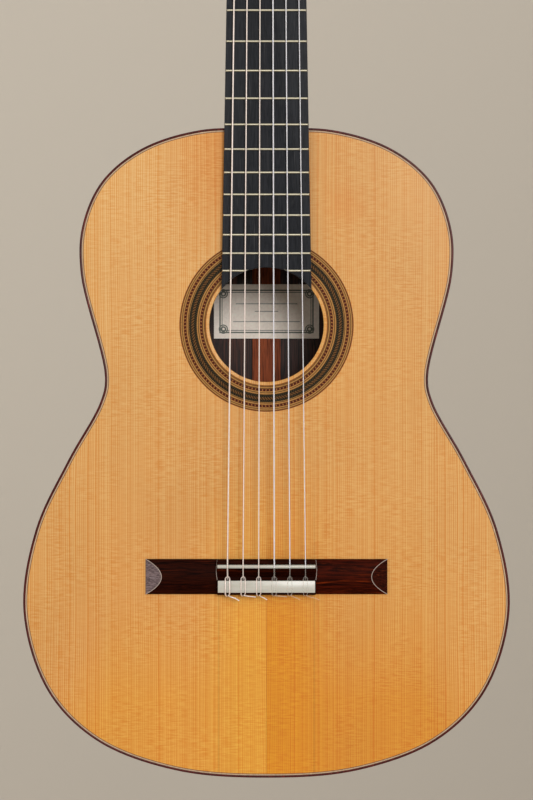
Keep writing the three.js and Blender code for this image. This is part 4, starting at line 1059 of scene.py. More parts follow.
    def build_edges(self) -> None:
        """Builds the bindings and the fine lines beside them, front and back."""
        straw = self.binding + self.straw_line
        lines = (
            ("binding", 0.0, self.binding, self.binding_height, ROSEWOOD_LINE),
            ("straw_line", self.binding, straw, 1.4, MAPLE_LINE),
            ("brown_line", straw, self.edge_width(), 1.4, BROWN_LINE),
        )
        for name, outer, inner, depth, look in lines:
            rings = self.outline.ring(outer), self.outline.ring(inner)
            front = Solid.band(*rings, (0, depth, 0))
            if name == "binding":
                front.bevelled(0.45, 2, 60, lambda p: p.y < 0.1)
            front.finish(f"top_{name}", look, stands_for=["top_binding"] if name == "binding" else ())
            rear = self.arched(Solid.band(*rings, (0, 1, 0)), 0.0, depth)
            rear.finish(f"back_{name}", look, stands_for=["back_binding"] if name == "binding" else ())

    def wall(self, line: Sequence[Vector], inner: Sequence[Vector], front: float, behind: float) -> Solid:
        """Returns a bent wall between two open lines, from a depth in front to one before the back."""
        solid = Solid.plate([*line, *reversed(inner)], (0, 1, 0))

        def rule(p: Vector) -> Vector:
            return Vector((p.x, front if p.y < 0.5 else self.back.y(p.x, p.z) - behind, p.z))
        return solid.shaped(rule)

    def build_sides(self) -> None:
        """Builds the bent sides with a pale line along both edges, and the graft at the tail."""
        height, line = self.binding_height, 0.9
        for sign, name in ((-1, "bass"), (1, "treble")):
            lines = (self.outline.side(sign, 0.02, self.graft + 0.8, 0.5),
                     self.outline.side(sign, self.side_thickness, self.graft + 0.8, 0.5))
            wall = self.wall(*lines, height + line, height + line)
            wall.finish(f"side_of_{name}", ROSEWOOD, stands_for=[f"side_{name}"])
            front = Solid.plate([*lines[0], *reversed(lines[1])], (0, line, 0))
            front.moved(Matrix.Translation((0, height, 0))).finish(f"side_line_front_{name}", MAPLE_LINE)
            edge_line = Solid.plate([*lines[0], *reversed(lines[1])], (0, 1, 0))
            rear = self.arched(edge_line, height, height + line)
            rear.finish(f"side_line_back_{name}", MAPLE_LINE)
        self.build_graft(height)

    def build_graft(self, height: float) -> None:
        """Builds the wedge that covers the joint at the tail, between two pale lines."""
        for name, low, high, look in (("end_graft_wood", -self.graft, self.graft, ROSEWOOD_LINE),
                                      ("graft_line_bass", -self.graft - 0.8, -self.graft, MAPLE_LINE),
                                      ("graft_line_treble", self.graft, self.graft + 0.8, MAPLE_LINE)):
            def reach(x: float) -> float:
                return 0.02 + x * x * 0.0004
            outer = [Vector((low + (high - low) * i / 4, 0, 0)) for i in range(5)]
            outer = [Vector((p.x, 0, reach(p.x))) for p in outer]
            inner = [Vector((p.x, 0, p.z + self.side_thickness)) for p in reversed(outer)]
            piece = self.wall(outer, list(reversed(inner)), height, height)
            piece.finish(name, look, stands_for=["end_graft"] if name == "end_graft_wood" else ())

    def build_back(self) -> None:
        """Builds the arched back in two halves on each side of a fine centre inlay."""
        inlay = 1.6
        levels = [z for z in range(20, 480, 20)]
        for sign, name in ((-1, "bass"), (1, "treble")):
            edge = self.outline.side(sign, self.edge_width() + 0.04, inlay, inlay)
            half = Solid.plate(edge, (0, 1, 0)).divided(2, levels)
            half.divided(0, [sign * x for x in range(20, 180, 20)])
            self.arched(half, 0.0, self.back_thickness).finish(
                f"back_{name}", ROSEWOOD, stands_for=[f"back_{name}_half"])
        tail = self.outline.ring(self.edge_width())[0].z
        top = BODY_LENGTH - self.edge_width()
        for name, low, high, look in (("back_inlay_middle", -0.7, 0.7, ROSEWOOD_LINE),
                                      ("back_inlay_bass", -1.6, -0.7, MAPLE_LINE),
                                      ("back_inlay_treble", 0.7, 1.6, MAPLE_LINE)):
            strip = Solid.box((low, 0, tail), (high, 1, top)).divided(2, levels)
            self.arched(strip, 0.0, 1.2).finish(name, look)

    def build_inside(self) -> None:
        """Builds the label on the inside of the back, and dresses the braces, linings and blocks."""
        half, middle = LABEL.width / 2, LABEL.middle_z
        sheet = Solid.box((-half, 0, middle - LABEL.height / 2), (half, 1, middle + LABEL.height / 2))
        sheet.divided(0, [-30, -11.2, 11.2, 30]).divided(2, [middle - 10, middle, middle + 10])
        behind = self.back_thickness + 2.35

        def lie(p: Vector) -> Vector:
            on_strip = 0.0 if abs(p.x) < 12 else 0.9
            inwards = behind - on_strip + (0.25 if p.y < 0.5 else 0.0)
            return Vector((p.x, self.back.y(p.x, p.z) - inwards, p.z))
        sheet.shaped(lie).finish("paper_label", LABEL, stands_for=["label"])
        centre = Vector((0.0, 0.0, SOUNDHOLE_Z))

        def let_back(p: Vector) -> Vector:
            off = Vector((p.x, 0.0, p.z - SOUNDHOLE_Z))
            return p if off.length > 46.0 else centre + off * (46.0 / off.length) + Vector((0, p.y, 0))
        ring = Solid.copy_of("soundhole_doubler").shaped(let_back)
        ring.finish("doubler_ring", SPRUCE_BARE, stands_for=["soundhole_doubler"])
        dressings = {
            "back_bracing": MAHOGANY, "tail_block": CEDAR, "top_lining": CEDAR, "back_lining": CEDAR,
            "upper_harmonic_bar": SPRUCE_BARE, "lower_harmonic_bar": SPRUCE_BARE,
            "fan_bracing": SPRUCE_BARE,
        }
        for node, look in dressings.items():
            dress(node, look)


def dress(node: str, look: Finish) -> None:
    """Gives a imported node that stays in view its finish."""
    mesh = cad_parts[node].data
    mesh.materials.clear()
    mesh.materials.append(look.material())


# ---- Neck and fingerboard ------------------------------------------------------------------------


def half_width(z: float) -> float:
    """Returns half the width of the neck and fingerboard at a height."""
    return 25.5 + (NUT_Z - z) * (62.4 - 51.0) / SCALE_LENGTH


@dataclass
class Neck:
    """The neck with its heel and inner block, the heel's cap, the fingerboard, its frets and the nut."""

    depth_at_nut: float = 15.5
    depth_at_heel: float = 18.0
    heel_depth: float = 100.0
    heel_top: float = 545.0
    heel_cap: float = 501.0
    heel_base: float = 482.8
    cap_thickness: float = 3.0
    board_thickness: float = 6.0
    end_radius: float = 42.4
    fret_width: float = 1.7
    fret_crown: float = 0.95
    back: ArchedBack = field(default_factory=ArchedBack)

    def build(self) -> None:
        """Builds every piece of the neck."""
        self.build_shaft()
        self.build_fingerboard()
        self.build_frets()
        nut = Solid.copy_of("nut").bevelled(0.25, 2, 50)
        nut.finish("string_nut", BONE, stands_for=["nut"])

    def section(self, z: float, depth: float, narrowing: float) -> list[Vector]:
        """Returns the neck's section at a height: flat in front, round behind."""
        count = 28
        points = []
        for i in range(count + 1):
            turn = math.pi * i / count
            cos, sin = math.cos(turn), max(math.sin(turn), 0.0)
            across = half_width(z) * math.copysign(abs(cos) ** narrowing, cos)
            points.append(Vector((across, depth * sin ** 0.87, z)))
        return points

    def heel(self, steps: int = 18) -> list[list[Vector]]:
        """Returns the heel's sections, from the body out to the neck along a quarter ellipse."""
        sections = [self.section(self.heel_base, self.heel_depth, 1.35)]
        for i in range(steps + 1):
            turn = math.pi / 2 * i / steps
            z = self.heel_top - (self.heel_top - self.heel_cap) * math.cos(turn)
            depth = self.heel_depth - (self.heel_depth - self.depth_at_heel) * math.sin(turn)
            sections.append(self.section(z, depth, 1.35 - 0.35 * math.sin(turn)))
        return sections

    def build_shaft(self) -> None:
        """Builds the neck, heel, block and foot as one piece of cedar, and the heel's cap."""
        rear = self.back.y(0.0, BODY_LENGTH)
        cap_front = rear - self.cap_thickness
        along = []
        for z in (590, 640, 690, 740, NUT_Z - 24):
            above = z - self.heel_top
            along.append(self.section(z, self.depth_at_heel - above * 2.5 / 238, 1.0 - above / 238 * 0.1))
        ends = [self.section(NUT_Z - 24 + 36 * t, self.depth_at_nut + 2.5 * t, 0.9 - 0.3 * t)
                for t in (0.25, 0.5, 0.75, 1.0)]
        shaft = Solid.lofted([*self.heel(), *along, *ends]).facing_out()
        up_head = Vector((0, math.sin(HEAD_ANGLE), math.cos(HEAD_ANGLE)))
        shaft.sliced(Vector((0, 0, NUT_Z + NUT_LENGTH)) - up_head * 0.02, up_head)
        shaft.sliced((0, cap_front, 0), (0, 1, 0))
        block = Solid.box((-30, 2.8, 455), (30, 88, 479.8))
        foot = Solid.box((-42, 2.8, 434), (42, 10.8, 470)).bevelled(2.0, 2, 60, lambda p: p.y > 10)
        shaft.joined(block, foot).finish("neck_and_heel", CEDAR, stands_for=["neck"])
        cap = Solid.lofted(self.heel()[:4]).facing_out()
        cap.sliced((0, rear, 0), (0, 1, 0)).sliced((0, cap_front + 0.02, 0), (0, -1, 0))
        cap.bevelled(0.5, 2, 60, lambda p: p.y > rear - 0.1)
        cap.finish("heel_cap_plate", ROSEWOOD_LINE, stands_for=["heel_cap"])

    def build_fingerboard(self) -> None:
        """Builds the tapered ebony board, hollowed at its end to follow the soundhole."""
        tip = self.tip_angle()
        end = arc((0, SOUNDHOLE_Z), self.end_radius, 180 - tip, tip, 40)
        top = NUT_Z - 0.05
        outline = [*end, Vector((half_width(top), 0, top)), Vector((-half_width(top), 0, top))]
        board = Solid.plate(outline, (0, -self.board_thickness, 0))
        board.bevelled(0.35, 2, 60, lambda p: p.y < -self.board_thickness + 0.1)
        board.finish("ebony_board", EBONY, stands_for=["fingerboard"])

    def tip_angle(self) -> float:
        """Returns the angle from x, in degrees, at which the soundhole's edge meets the board's sides."""
        angle = 40.0
        for _ in range(20):
            z = SOUNDHOLE_Z + self.end_radius * math.sin(math.radians(angle))
            angle = math.degrees(math.acos(half_width(z) / self.end_radius))
        return angle

    def build_frets(self) -> None:
        """Builds the frets: crowned nickel silver with ends filed to a slope, the last one in two parts."""
        half, crown, top = self.fret_width / 2, self.fret_crown, -self.board_thickness
        profile = [Vector((0, top + 0.2, -half))]
        for i in range(9):
            turn = math.pi * i / 8
            profile.append(Vector((0, top - crown * math.sin(turn) ** 0.8, -half * math.cos(turn))))
        profile.append(Vector((0, top + 0.2, half)))
        for number in range(1, 20):
            z = NUT_Z - SCALE_LENGTH * (1 - 2 ** (-number / 12))
            reach = half_width(z) - 0.25
            spans = [(-reach, reach)]
            if z < SOUNDHOLE_Z + self.end_radius:
                inner = math.sqrt(self.end_radius ** 2 - (z - SOUNDHOLE_Z) ** 2) - 2.0
                spans = [(-reach, -inner), (inner, reach)]
            fret = Solid()
            for low, high in spans:
                wire = Solid.plate([p + Vector((low, 0, z)) for p in profile], (high - low, 0, 0))
                for x, sign in ((low, -1), (high, 1)):
                    if abs(x) == reach:
                        wire.sliced((x, top, z), (sign * 1.0, -0.6, 0))
                    else:
                        at = x + math.copysign(2.1, x)
                        wire.sliced((at, top, z), (-at, 0, SOUNDHOLE_Z - z))
                fret.joined(wire)
            fret.finish(f"fret_{number:02d}", NICKEL_SILVER)


# ---- Bridge --------------------------------------------------------------------------------------


@dataclass(frozen=True)
class StringGauge:
    """One string: its number from the highest, its radius, where it winds, and its tail's reach and drop."""

    number: int
    radius: float
    station: int
    winding_x: float
    tail: tuple[float, float]

    def look(self) -> Finish:
        """Returns wound silver for the three low strings, and nylon for the others."""
        return WOUND if self.number > 3 else NYLON

    def saddle_x(self) -> float:
        """Returns where the string crosses the saddle."""
        return (3.5 - self.number) * 11.5

    def nut_x(self) -> float:
        """Returns where the string crosses the nut."""
        return (3.5 - self.number) * 8.5


STRINGS = (
    StringGauge(6, 0.55, 0, -22.5, (8.6, 3.4)), StringGauge(5, 0.45, 1, -18.5, (9.4, 0.7)),
    StringGauge(4, 0.40, 2, -15.0, (6.2, 2.8)), StringGauge(3, 0.52, 2, 15.0, (9.4, 0.5)),
    StringGauge(2, 0.42, 1, 18.5, (7.6, 2.8)), StringGauge(1, 0.36, 0, 22.5, (10.4, 2.9)),
)


@dataclass
class Bridge:
    """The rosewood bridge with its arched wings, its tie block under bone, and the bone saddle."""

    half_length: float = 89.6
    front: float = 4.9
    rear: float = 21.1
    block_half: float = 36.4
    block_height: float = 8.0
    block_width: float = 10.8
    wing_height: float = 4.0
    wing_edge: float = 1.5
    bevel: float = 12.0
    hole_height: float = 5.0

    def build(self) -> None:
        """Builds the bridge, its bone cover and its saddle."""
        self.build_wood()
        bottom = SADDLE_Z - self.rear
        cover = Solid.box((-self.block_half + 0.5, -self.block_height - 1.5, bottom + 1.8),
                          (self.block_half - 0.5, -self.block_height, bottom + self.block_width - 0.2))
        cover.bevelled(0.3, 2, 60).finish("tie_block_cover", BONE, stands_for=["tie_block_bone"])
        Solid.copy_of("saddle").bevelled(0.3, 2, 30).finish("bone_saddle", BONE, stands_for=["saddle"])

    def wing_profile(self) -> list[Vector]:
        """Returns the wings' arched section, flat on the soundboard."""
        top, bottom = SADDLE_Z + self.front, SADDLE_Z - self.rear
        middle, half, steps = (top + bottom) / 2, (top - bottom) / 2, 24
        points = [Vector((0, 0.0, bottom))]
        for i in range(steps + 1):
            share = -1 + 2 * i / steps
            height = self.wing_height - (self.wing_height - self.wing_edge) * share * share
            points.append(Vector((0, -height, middle + share * half)))
        points.append(Vector((0, 0.0, top)))
        return points

    def build_wood(self) -> None:
        """Builds the wings, planed down at their tips, and the middle with its slot, trough and tie block."""
        for sign, name, look in ((-1, "bass", ROSEWOOD_ACROSS), (1, "treble", ROSEWOOD_RED)):
            wing = Solid.plate([p + Vector((sign * self.block_half, 0, 0)) for p in self.wing_profile()],
                               (sign * (self.half_length - self.block_half), 0, 0))
            rise = self.wing_height + 0.05 - self.wing_edge
            wing.sliced((sign * self.half_length, -self.wing_edge, 0), (sign * rise, -self.bevel, 0))
            wing.bevelled(0.18, 2, 8, lambda p: p.y < -0.5)
            wing.finish(f"bridge_wing_{name}", look, smooth_under=20)
        slot, wall, trough = 1.6, 8.8, 2.8
        bottom, top = SADDLE_Z - self.rear, SADDLE_Z + self.front
        block_front = bottom + self.block_width
        section = [(0, bottom), (-self.block_height, bottom), (-self.block_height, block_front),
                   (-trough, block_front), (-trough, block_front + 2.0), (-wall + 0.6, SADDLE_Z - slot - 1.4),
                   (-wall, SADDLE_Z - slot), (-4.0, SADDLE_Z - slot), (-4.0, SADDLE_Z + slot),
                   (-wall, SADDLE_Z + slot), (-wall, top - 0.6), (-wall + 0.6, top), (0, top)]
        middle = Solid.plate([Vector((-self.block_half, y, z)) for y, z in section],
                             (2 * self.block_half, 0, 0))
        middle.bevelled(0.3, 2, 50, lambda p: p.y < -2.9)
        holes = [Solid.spun([(0, 0), (s.radius + 0.4, 0), (s.radius + 0.4, 16), (0, 16)], 16).moved(
            Matrix.Translation((s.saddle_x(), -self.hole_height, bottom - 3))) for s in STRINGS]
        middle.cut(*holes).finish("bridge_middle", ROSEWOOD_ACROSS, stands_for=["bridge"], smooth_under=20)
        self.build_tip_highlights()

    def tip_arc(self, sign: int, steps: int = 24) -> list[Vector]:
        """Returns the curved edge between a wing's arched top and the flat planed at its tip."""
        top, bottom = SADDLE_Z + self.front, SADDLE_Z - self.rear
        middle, half = (top + bottom) / 2, (top - bottom) / 2
        points = []
        for i in range(steps + 1):
            share = -1 + 2 * i / steps
            rise = (self.wing_height - self.wing_edge) * (1 - share * share)
            reach = self.half_length - self.bevel * rise / (self.wing_height + 0.05 - self.wing_edge)
            points.append(Vector((sign * reach, -self.wing_edge - rise, middle + share * half)))
        return points

    def build_tip_highlights(self) -> None:
        """Builds the flats at the tips, a painted highlight on the bass one, and painted edge highlights."""
        highlights = Solid()
        for sign, name, look in ((-1, "bass", TIP_HIGHLIGHT_BASS), (1, "treble", SCRAPED_TREBLE)):
            edge = self.tip_arc(sign)
            # The bass flat's greyish colour is a painted highlight, the light from the left caught on it.
            Solid.plate(edge, (0, -0.05, 0)).finish(f"tip_flat_{name}", look)
            # Painted highlights: pale tubes along the tip's arc and, below, the shoulder stand for the light
            # their polished edges catch.
            highlights.joined(Solid.tube([p + Vector((0, -0.02, 0)) for p in edge], 0.26, 6))
            shoulder = []
            for i in range(13):
                z = SADDLE_Z + self.front - 0.4 - 15.0 * i / 12
                share = (z - SADDLE_Z + (self.rear - self.front) / 2) / ((self.rear + self.front) / 2)
                height = self.wing_height - (self.wing_height - self.wing_edge) * share * share
                bow = 0.1 + 0.7 * math.sin(math.pi * i / 12)
                shoulder.append(Vector((sign * (self.block_half + bow), -height - 0.05, z)))
            highlights.joined(Solid.tube(shoulder, 0.2, 6))
        highlights.finish("bridge_edge_highlights", EDGE_HIGHLIGHT)


# ---- Strings and machines ------------------------------------------------------------------------


@dataclass
class Machines:
    """The head with its slots and veneer, two side plates, and a worm, gear, roller and button a string."""

    length: float = 184.0
    half_width: float = 36.0
    thickness: float = 18.0
    veneer: float = 2.0
    slot: tuple[float, float, float, float] = (9.0, 27.0, 22.0, 133.0)
    stations: tuple[float, float, float] = (47.0, 82.0, 117.0)
    roller_y: float = 9.0
    roller_radius: float = 4.75
    plate_x: float = 36.3
    plate_thickness: float = 1.2
    gear_pitch: float = 5.6
    worm_pitch: float = 2.3
    addendum: float = 0.7
    dedendum: float = 0.85
    shaft_radius: float = 1.4
    button_start: float = 22.3
    screw_radius: float = 1.9
    lugs: tuple[tuple[float, float], ...] = ((1.2, 3.6), (14.4, 16.8))

    def worm_x(self) -> float:
        """Returns how far from the middle of the head the worm shafts lie."""
        return self.plate_x + self.plate_thickness + self.worm_pitch + self.addendum + 0.4

    def worm_z(self, station: int) -> float:
        """Returns how far up the head a string's worm lies."""
        return self.stations[station] - self.gear_pitch - self.worm_pitch

    def outwards(self, sign: int, z: float) -> Matrix:
        """Returns the placing that lays a shape turned about Z along a roller's axis, pointing outwards."""
        if sign > 0:
            return along_x((0, self.roller_y, z))
        return Matrix.Translation((0, self.roller_y, z)) @ Matrix.Rotation(-math.pi / 2, 4, "Y")

    def build(self) -> None:
        """Builds the head and everything on it."""
        self.build_head()
        for sign, name in ((-1, "bass"), (1, "treble")):
            self.build_plate(sign, name)
        for gauge in STRINGS:
            sign = -1 if gauge.number > 3 else 1
            self.build_roller(gauge, sign)
            self.build_worm(gauge, sign)
            self.build_button(gauge, sign)

    def head_outline(self) -> list[Vector]:
        """Returns the head's outline in its own frame, from the nut round the treble side."""
        neck, half, top = 25.2, self.half_width, self.length
        pieces = (
            ((neck, 0), (neck + 1, 9), (half, 7), (half, 19)),
            ((half, top - 26), (half - 0.7, top - 18), (half - 3.7, top - 13), (half - 9, top - 11)),
            ((half - 9, top - 11), (18, top - 8), (12, top), (0, top)),
        )
        treble: list[Vector] = []
        for piece in pieces:
            handles = [Vector((x, 0, z)) for x, z in piece]
            treble += interpolate_bezier(*handles, 14)
        treble = [p for i, p in enumerate(treble) if i == 0 or (p - treble[i - 1]).length > 1e-4]
        return [*treble, *(Vector((-p.x, 0, p.z)) for p in reversed(treble[:-1]))]

    def slot_outline(self, sign: int) -> list[Vector]:
        """Returns the outline of one string slot, round at both ends."""
        inner, outer, low, high = self.slot
        middle, radius = sign * (inner + outer) / 2, (outer - inner) / 2
        return [*arc((middle, high - radius), radius, 0, 180, 16),
                *arc((middle, low + radius), radius, 180, 360, 16)]

    def ramps(self) -> list[Solid]:
        """Returns the wedges cut out of the head where the strings dip from the nut into the slots."""
        profile = [(-6, 11), (-2.2, 11), (3, 25), (3, 33), (-6, 33)]
        low, high = self.slot[0] + 2, self.slot[1] - 1
        return [Solid.plate([Vector((x, y, z)) for y, z in profile], (high - low, 0, 0))
                for x in (low, -high)]

    def build_head(self) -> None:
        """Builds the head, and over it a rosewood veneer on a pale line."""
        outline = self.head_outline()
        holes = [self.slot_outline(-1), self.slot_outline(1)]
        wood = Solid.plate(outline, (0, self.thickness, 0), holes)
        wood.bevelled(1.2, 3, 60, lambda p: p.y > self.thickness - 0.1)
        bore = self.roller_radius + 0.4
        rod = [(0, 0), (bore, 0), (bore, 40), (0, 40)]
        bores = [Solid.spun(rod, 24).moved(along_x((start, self.roller_y, z)))
                 for z in self.stations for start in (-42.5, 2.5)]
        wood.cut(*self.ramps(), *bores)
        wood.finish("head_wood", CEDAR, stands_for=["headstock"], tilted=True)
        layers = (("head_line", -0.5, -0.02, MAPLE_LINE), ("head_face", -2.0, -0.52, ROSEWOOD))
        for name, y0, y1, look in layers:
            sheet = Solid.plate([p + Vector((0, y0, 0)) for p in outline], (0, y1 - y0, 0),
                                [[p + Vector((0, y0, 0)) for p in hole] for hole in holes])
            if name == "head_face":
                sheet.bevelled(0.4, 2, 60, lambda p: p.y < -1.9)
            sheet.cut(*self.ramps())
            sheet.finish(name, look, stands_for=["head_veneer"] if name == "head_face" else (), tilted=True)

    def build_plate(self, sign: int, name: str) -> None:
        """Builds a side plate with rounded edges, its lugs and its fixing screws. It has no bores."""
        low = self.worm_z(0) - 9.0
        high = self.stations[2] + 13.0
        near = sign * self.plate_x
        corners = ((14.5, high - 2.5, 0), (3.5, high - 2.5, 90),
                   (3.5, low + 2.5, 180), (14.5, low + 2.5, 270))
        outline = []
        for y, z, start in corners:
            for i in range(7):
                turn = math.radians(start + 15 * i)
                outline.append(Vector((near, y + 2.5 * math.cos(turn), z + 2.5 * math.sin(turn))))
        plate = Solid.plate(outline, (sign * self.plate_thickness, 0, 0)).bevelled(0.3, 2, 60)
        far = self.plate_x + self.plate_thickness
        for station in range(3):
            z = self.worm_z(station)
            for y0, y1 in self.lugs:
                lug = Solid.spun([(0, y0), (2.5, y0), (2.5, y1), (0, y1)], 24)
                lug.moved(along_y((sign * self.worm_x(), 0, z)))
                base = Solid.box((far - 0.1, y0 + 0.1, z - 2.4), (self.worm_x(), y1 - 0.1, z + 2.4))
                if sign < 0:
                    base.moved(Matrix.Scale(-1, 4, (1, 0, 0)))
                plate.joined(lug.bevelled(0.25, 2, 50), base.facing_out().bevelled(0.25, 2, 50))
        plate.finish(f"machine_plate_{name}", BRASS, stands_for=[f"tuner_plate_{name}"], tilted=True)
        screws = Solid()
        for z in (low + 3.5, high - 3.5, self.stations[0] + 12, self.stations[1] + 12):
            screws.joined(self.screw(self.screw_radius).moved(self.outwards(sign, 0)).moved(
                Matrix.Translation((sign * far, 0, z))))
        screws.finish(f"plate_screws_{name}", STEEL, tilted=True)

    def screw(self, radius: float) -> Solid:
        """Returns a domed screw head on Z with a slot across it."""
        height = radius * 0.42
        profile = [(0, -0.2), (radius, -0.2), (radius, 0.1)]
        profile += [(radius * math.cos(t), 0.1 + height * math.sin(t)) for t in (0.4, 0.8, 1.2)]
        profile.append((0, 0.1 + height))
        slot = Solid.box((-radius * 1.2, -radius * 0.14, height * 0.45),
                         (radius * 1.2, radius * 0.14, height + 1))
        return Solid.spun(profile, 24).facing_out().cut(slot)

    def build_roller(self, gauge: StringGauge, sign: int) -> None:
        """Builds a string's roller, its brass gear with a fixing screw, and the turns wound on it."""
        body = f"drum_{gauge.number}"
        z = self.stations[gauge.station]
        radius, start, end = self.roller_radius, 3.0, 35.6
        turned = self.outwards(sign, z)
        barrel = [(0, start), (radius - 0.7, start), (radius, start + 0.7), (radius, start + 3.0),
                  (radius - 0.35, start + 3.4), (radius - 0.35, end - 3.4), (radius, end - 3.0),
                  (radius, end - 0.5), (radius - 0.5, end), (0, end)]
        Solid.spun(barrel, 40).moved(turned).finish(
            f"roller_barrel_{gauge.number}", ROLLER_WHITE, body, [f"roller_{gauge.number}"], tilted=True)
        gear_face = self.worm_x() - 1.4
        journal = [(0, end - 0.1), (2.6, end - 0.1), (2.6, gear_face + 0.2), (0, gear_face + 0.2)]
        Solid.spun(journal, 24).moved(turned).finish(
            f"roller_journal_{gauge.number}", STEEL, body, tilted=True)
        gear = Solid.copy_of(f"gear_{gauge.number}").bevelled(0.12, 1, 30)
        gear.finish(f"gear_wheel_{gauge.number}", BRASS, body, [f"gear_{gauge.number}"], smooth_under=25)
        outside = self.worm_x() + 2.7
        self.screw(self.screw_radius).moved(Matrix.Translation((0, 0, outside))).moved(turned).finish(
            f"gear_screw_{gauge.number}", STEEL, body, tilted=True)
        self.build_turns(gauge, sign, body, z)

    def build_turns(self, gauge: StringGauge, sign: int, body: str, z: float) -> None:
        """Builds the turns of string wound on a roller, closing up as they run outwards."""
        reach = self.roller_radius + gauge.radius * 0.75
        turns, steps = 4.5, 20
        pitch = 2.08 * gauge.radius
        path = []
        for i in range(int(turns * steps) + 1):
            turn = 2 * math.pi * i / steps
            x = gauge.winding_x - sign * pitch * turns / 2 + sign * pitch * i / steps
            path.append(Vector((x, self.roller_y - reach * math.cos(turn), z + reach * math.sin(turn))))
        Solid.tube(path, gauge.radius, 8).finish(
            f"string_turns_{gauge.number}", gauge.look(), body, tilted=True, smooth_under=60)

    def build_worm(self, gauge: StringGauge, sign: int) -> None:
        """Builds a worm and its shaft: a right-handed thread between the plate's lugs."""
        lead = math.pi * 0.8
        outer, root = self.worm_pitch + self.addendum, self.worm_pitch - self.dedendum
        slope, share = math.tan(math.radians(20)), 0.36
        tip_half = (share * lead - 2 * self.addendum * slope) / 2
        foot_half = (share * lead + 2 * self.dedendum * slope) / 2
        turns, steps = 2.25, 28
        thread = Solid()
        start = self.roller_y - turns * lead / 2
        corners = [(root - 0.2, -foot_half), (root - 0.2, foot_half), (outer, tip_half), (outer, -tip_half)]
        first = -math.pi * turns
        verts = [thread.bm.verts.new((r * math.sin(first), start + along, r * math.cos(first)))
                 for r, along in corners]
        face = thread.bm.faces.new(verts)
        count = int(turns * steps)
        bmesh.ops.spin(thread.bm, geom=[face, *face.edges, *verts], cent=(0, 0, 0), axis=(0, 1, 0),
                       dvec=(0, lead / steps, 0), angle=2 * math.pi * turns, steps=count, use_merge=False)
        core = Solid.spun([(0, 4.0), (root, 4.0), (root, 14.0), (0, 14.0)], 24)
        shaft = Solid.spun([(0, 0.6), (1.2, 0.6), (self.shaft_radius, 0.9),
                            (self.shaft_radius, self.button_start), (0, self.button_start)], 24)
        for turned in (core, shaft):
            thread.joined(turned.moved(along_y((0, 0, 0))))
        thread.moved(Matrix.Translation((sign * self.worm_x(), 0, self.worm_z(gauge.station))))
        thread.finish(f"worm_and_shaft_{gauge.number}", BRASS, f"worm_{gauge.number}",
                      [f"worm_shaft_{gauge.number}"], tilted=True)

    def build_button(self, gauge: StringGauge, sign: int) -> None:
        """Builds an oval pearl button with a brass collar and the end of its screw."""
        body = f"worm_{gauge.number}"
        place = Matrix.Translation((sign * self.worm_x(), 0, self.worm_z(gauge.station)))
        middle = self.button_start + 3.0 + 8.5
        oval = []
        for i in range(40):
            turn = 2 * math.pi * i / 40
            oval.append(Vector((-3.8, middle + 8.5 * math.cos(turn), 7.0 * math.sin(turn))))
        shell = Solid.plate(oval, (7.6, 0, 0)).bevelled(2.6, 5, 60)
        shell.moved(place).finish(f"button_shell_{gauge.number}", PEARLOID, body,
                                  [f"button_{gauge.number}"], tilted=True, smooth_under=50)
        start = self.button_start
        collar = [(0, start), (2.2, start), (2.5, start + 0.5), (2.5, start + 2.2), (2.0, start + 2.8),
                  (2.0, start + 4.5), (0, start + 4.5)]
        Solid.spun(collar, 24).moved(along_y((0, 0, 0))).moved(place).finish(
            f"button_collar_{gauge.number}", BRASS, body, tilted=True)


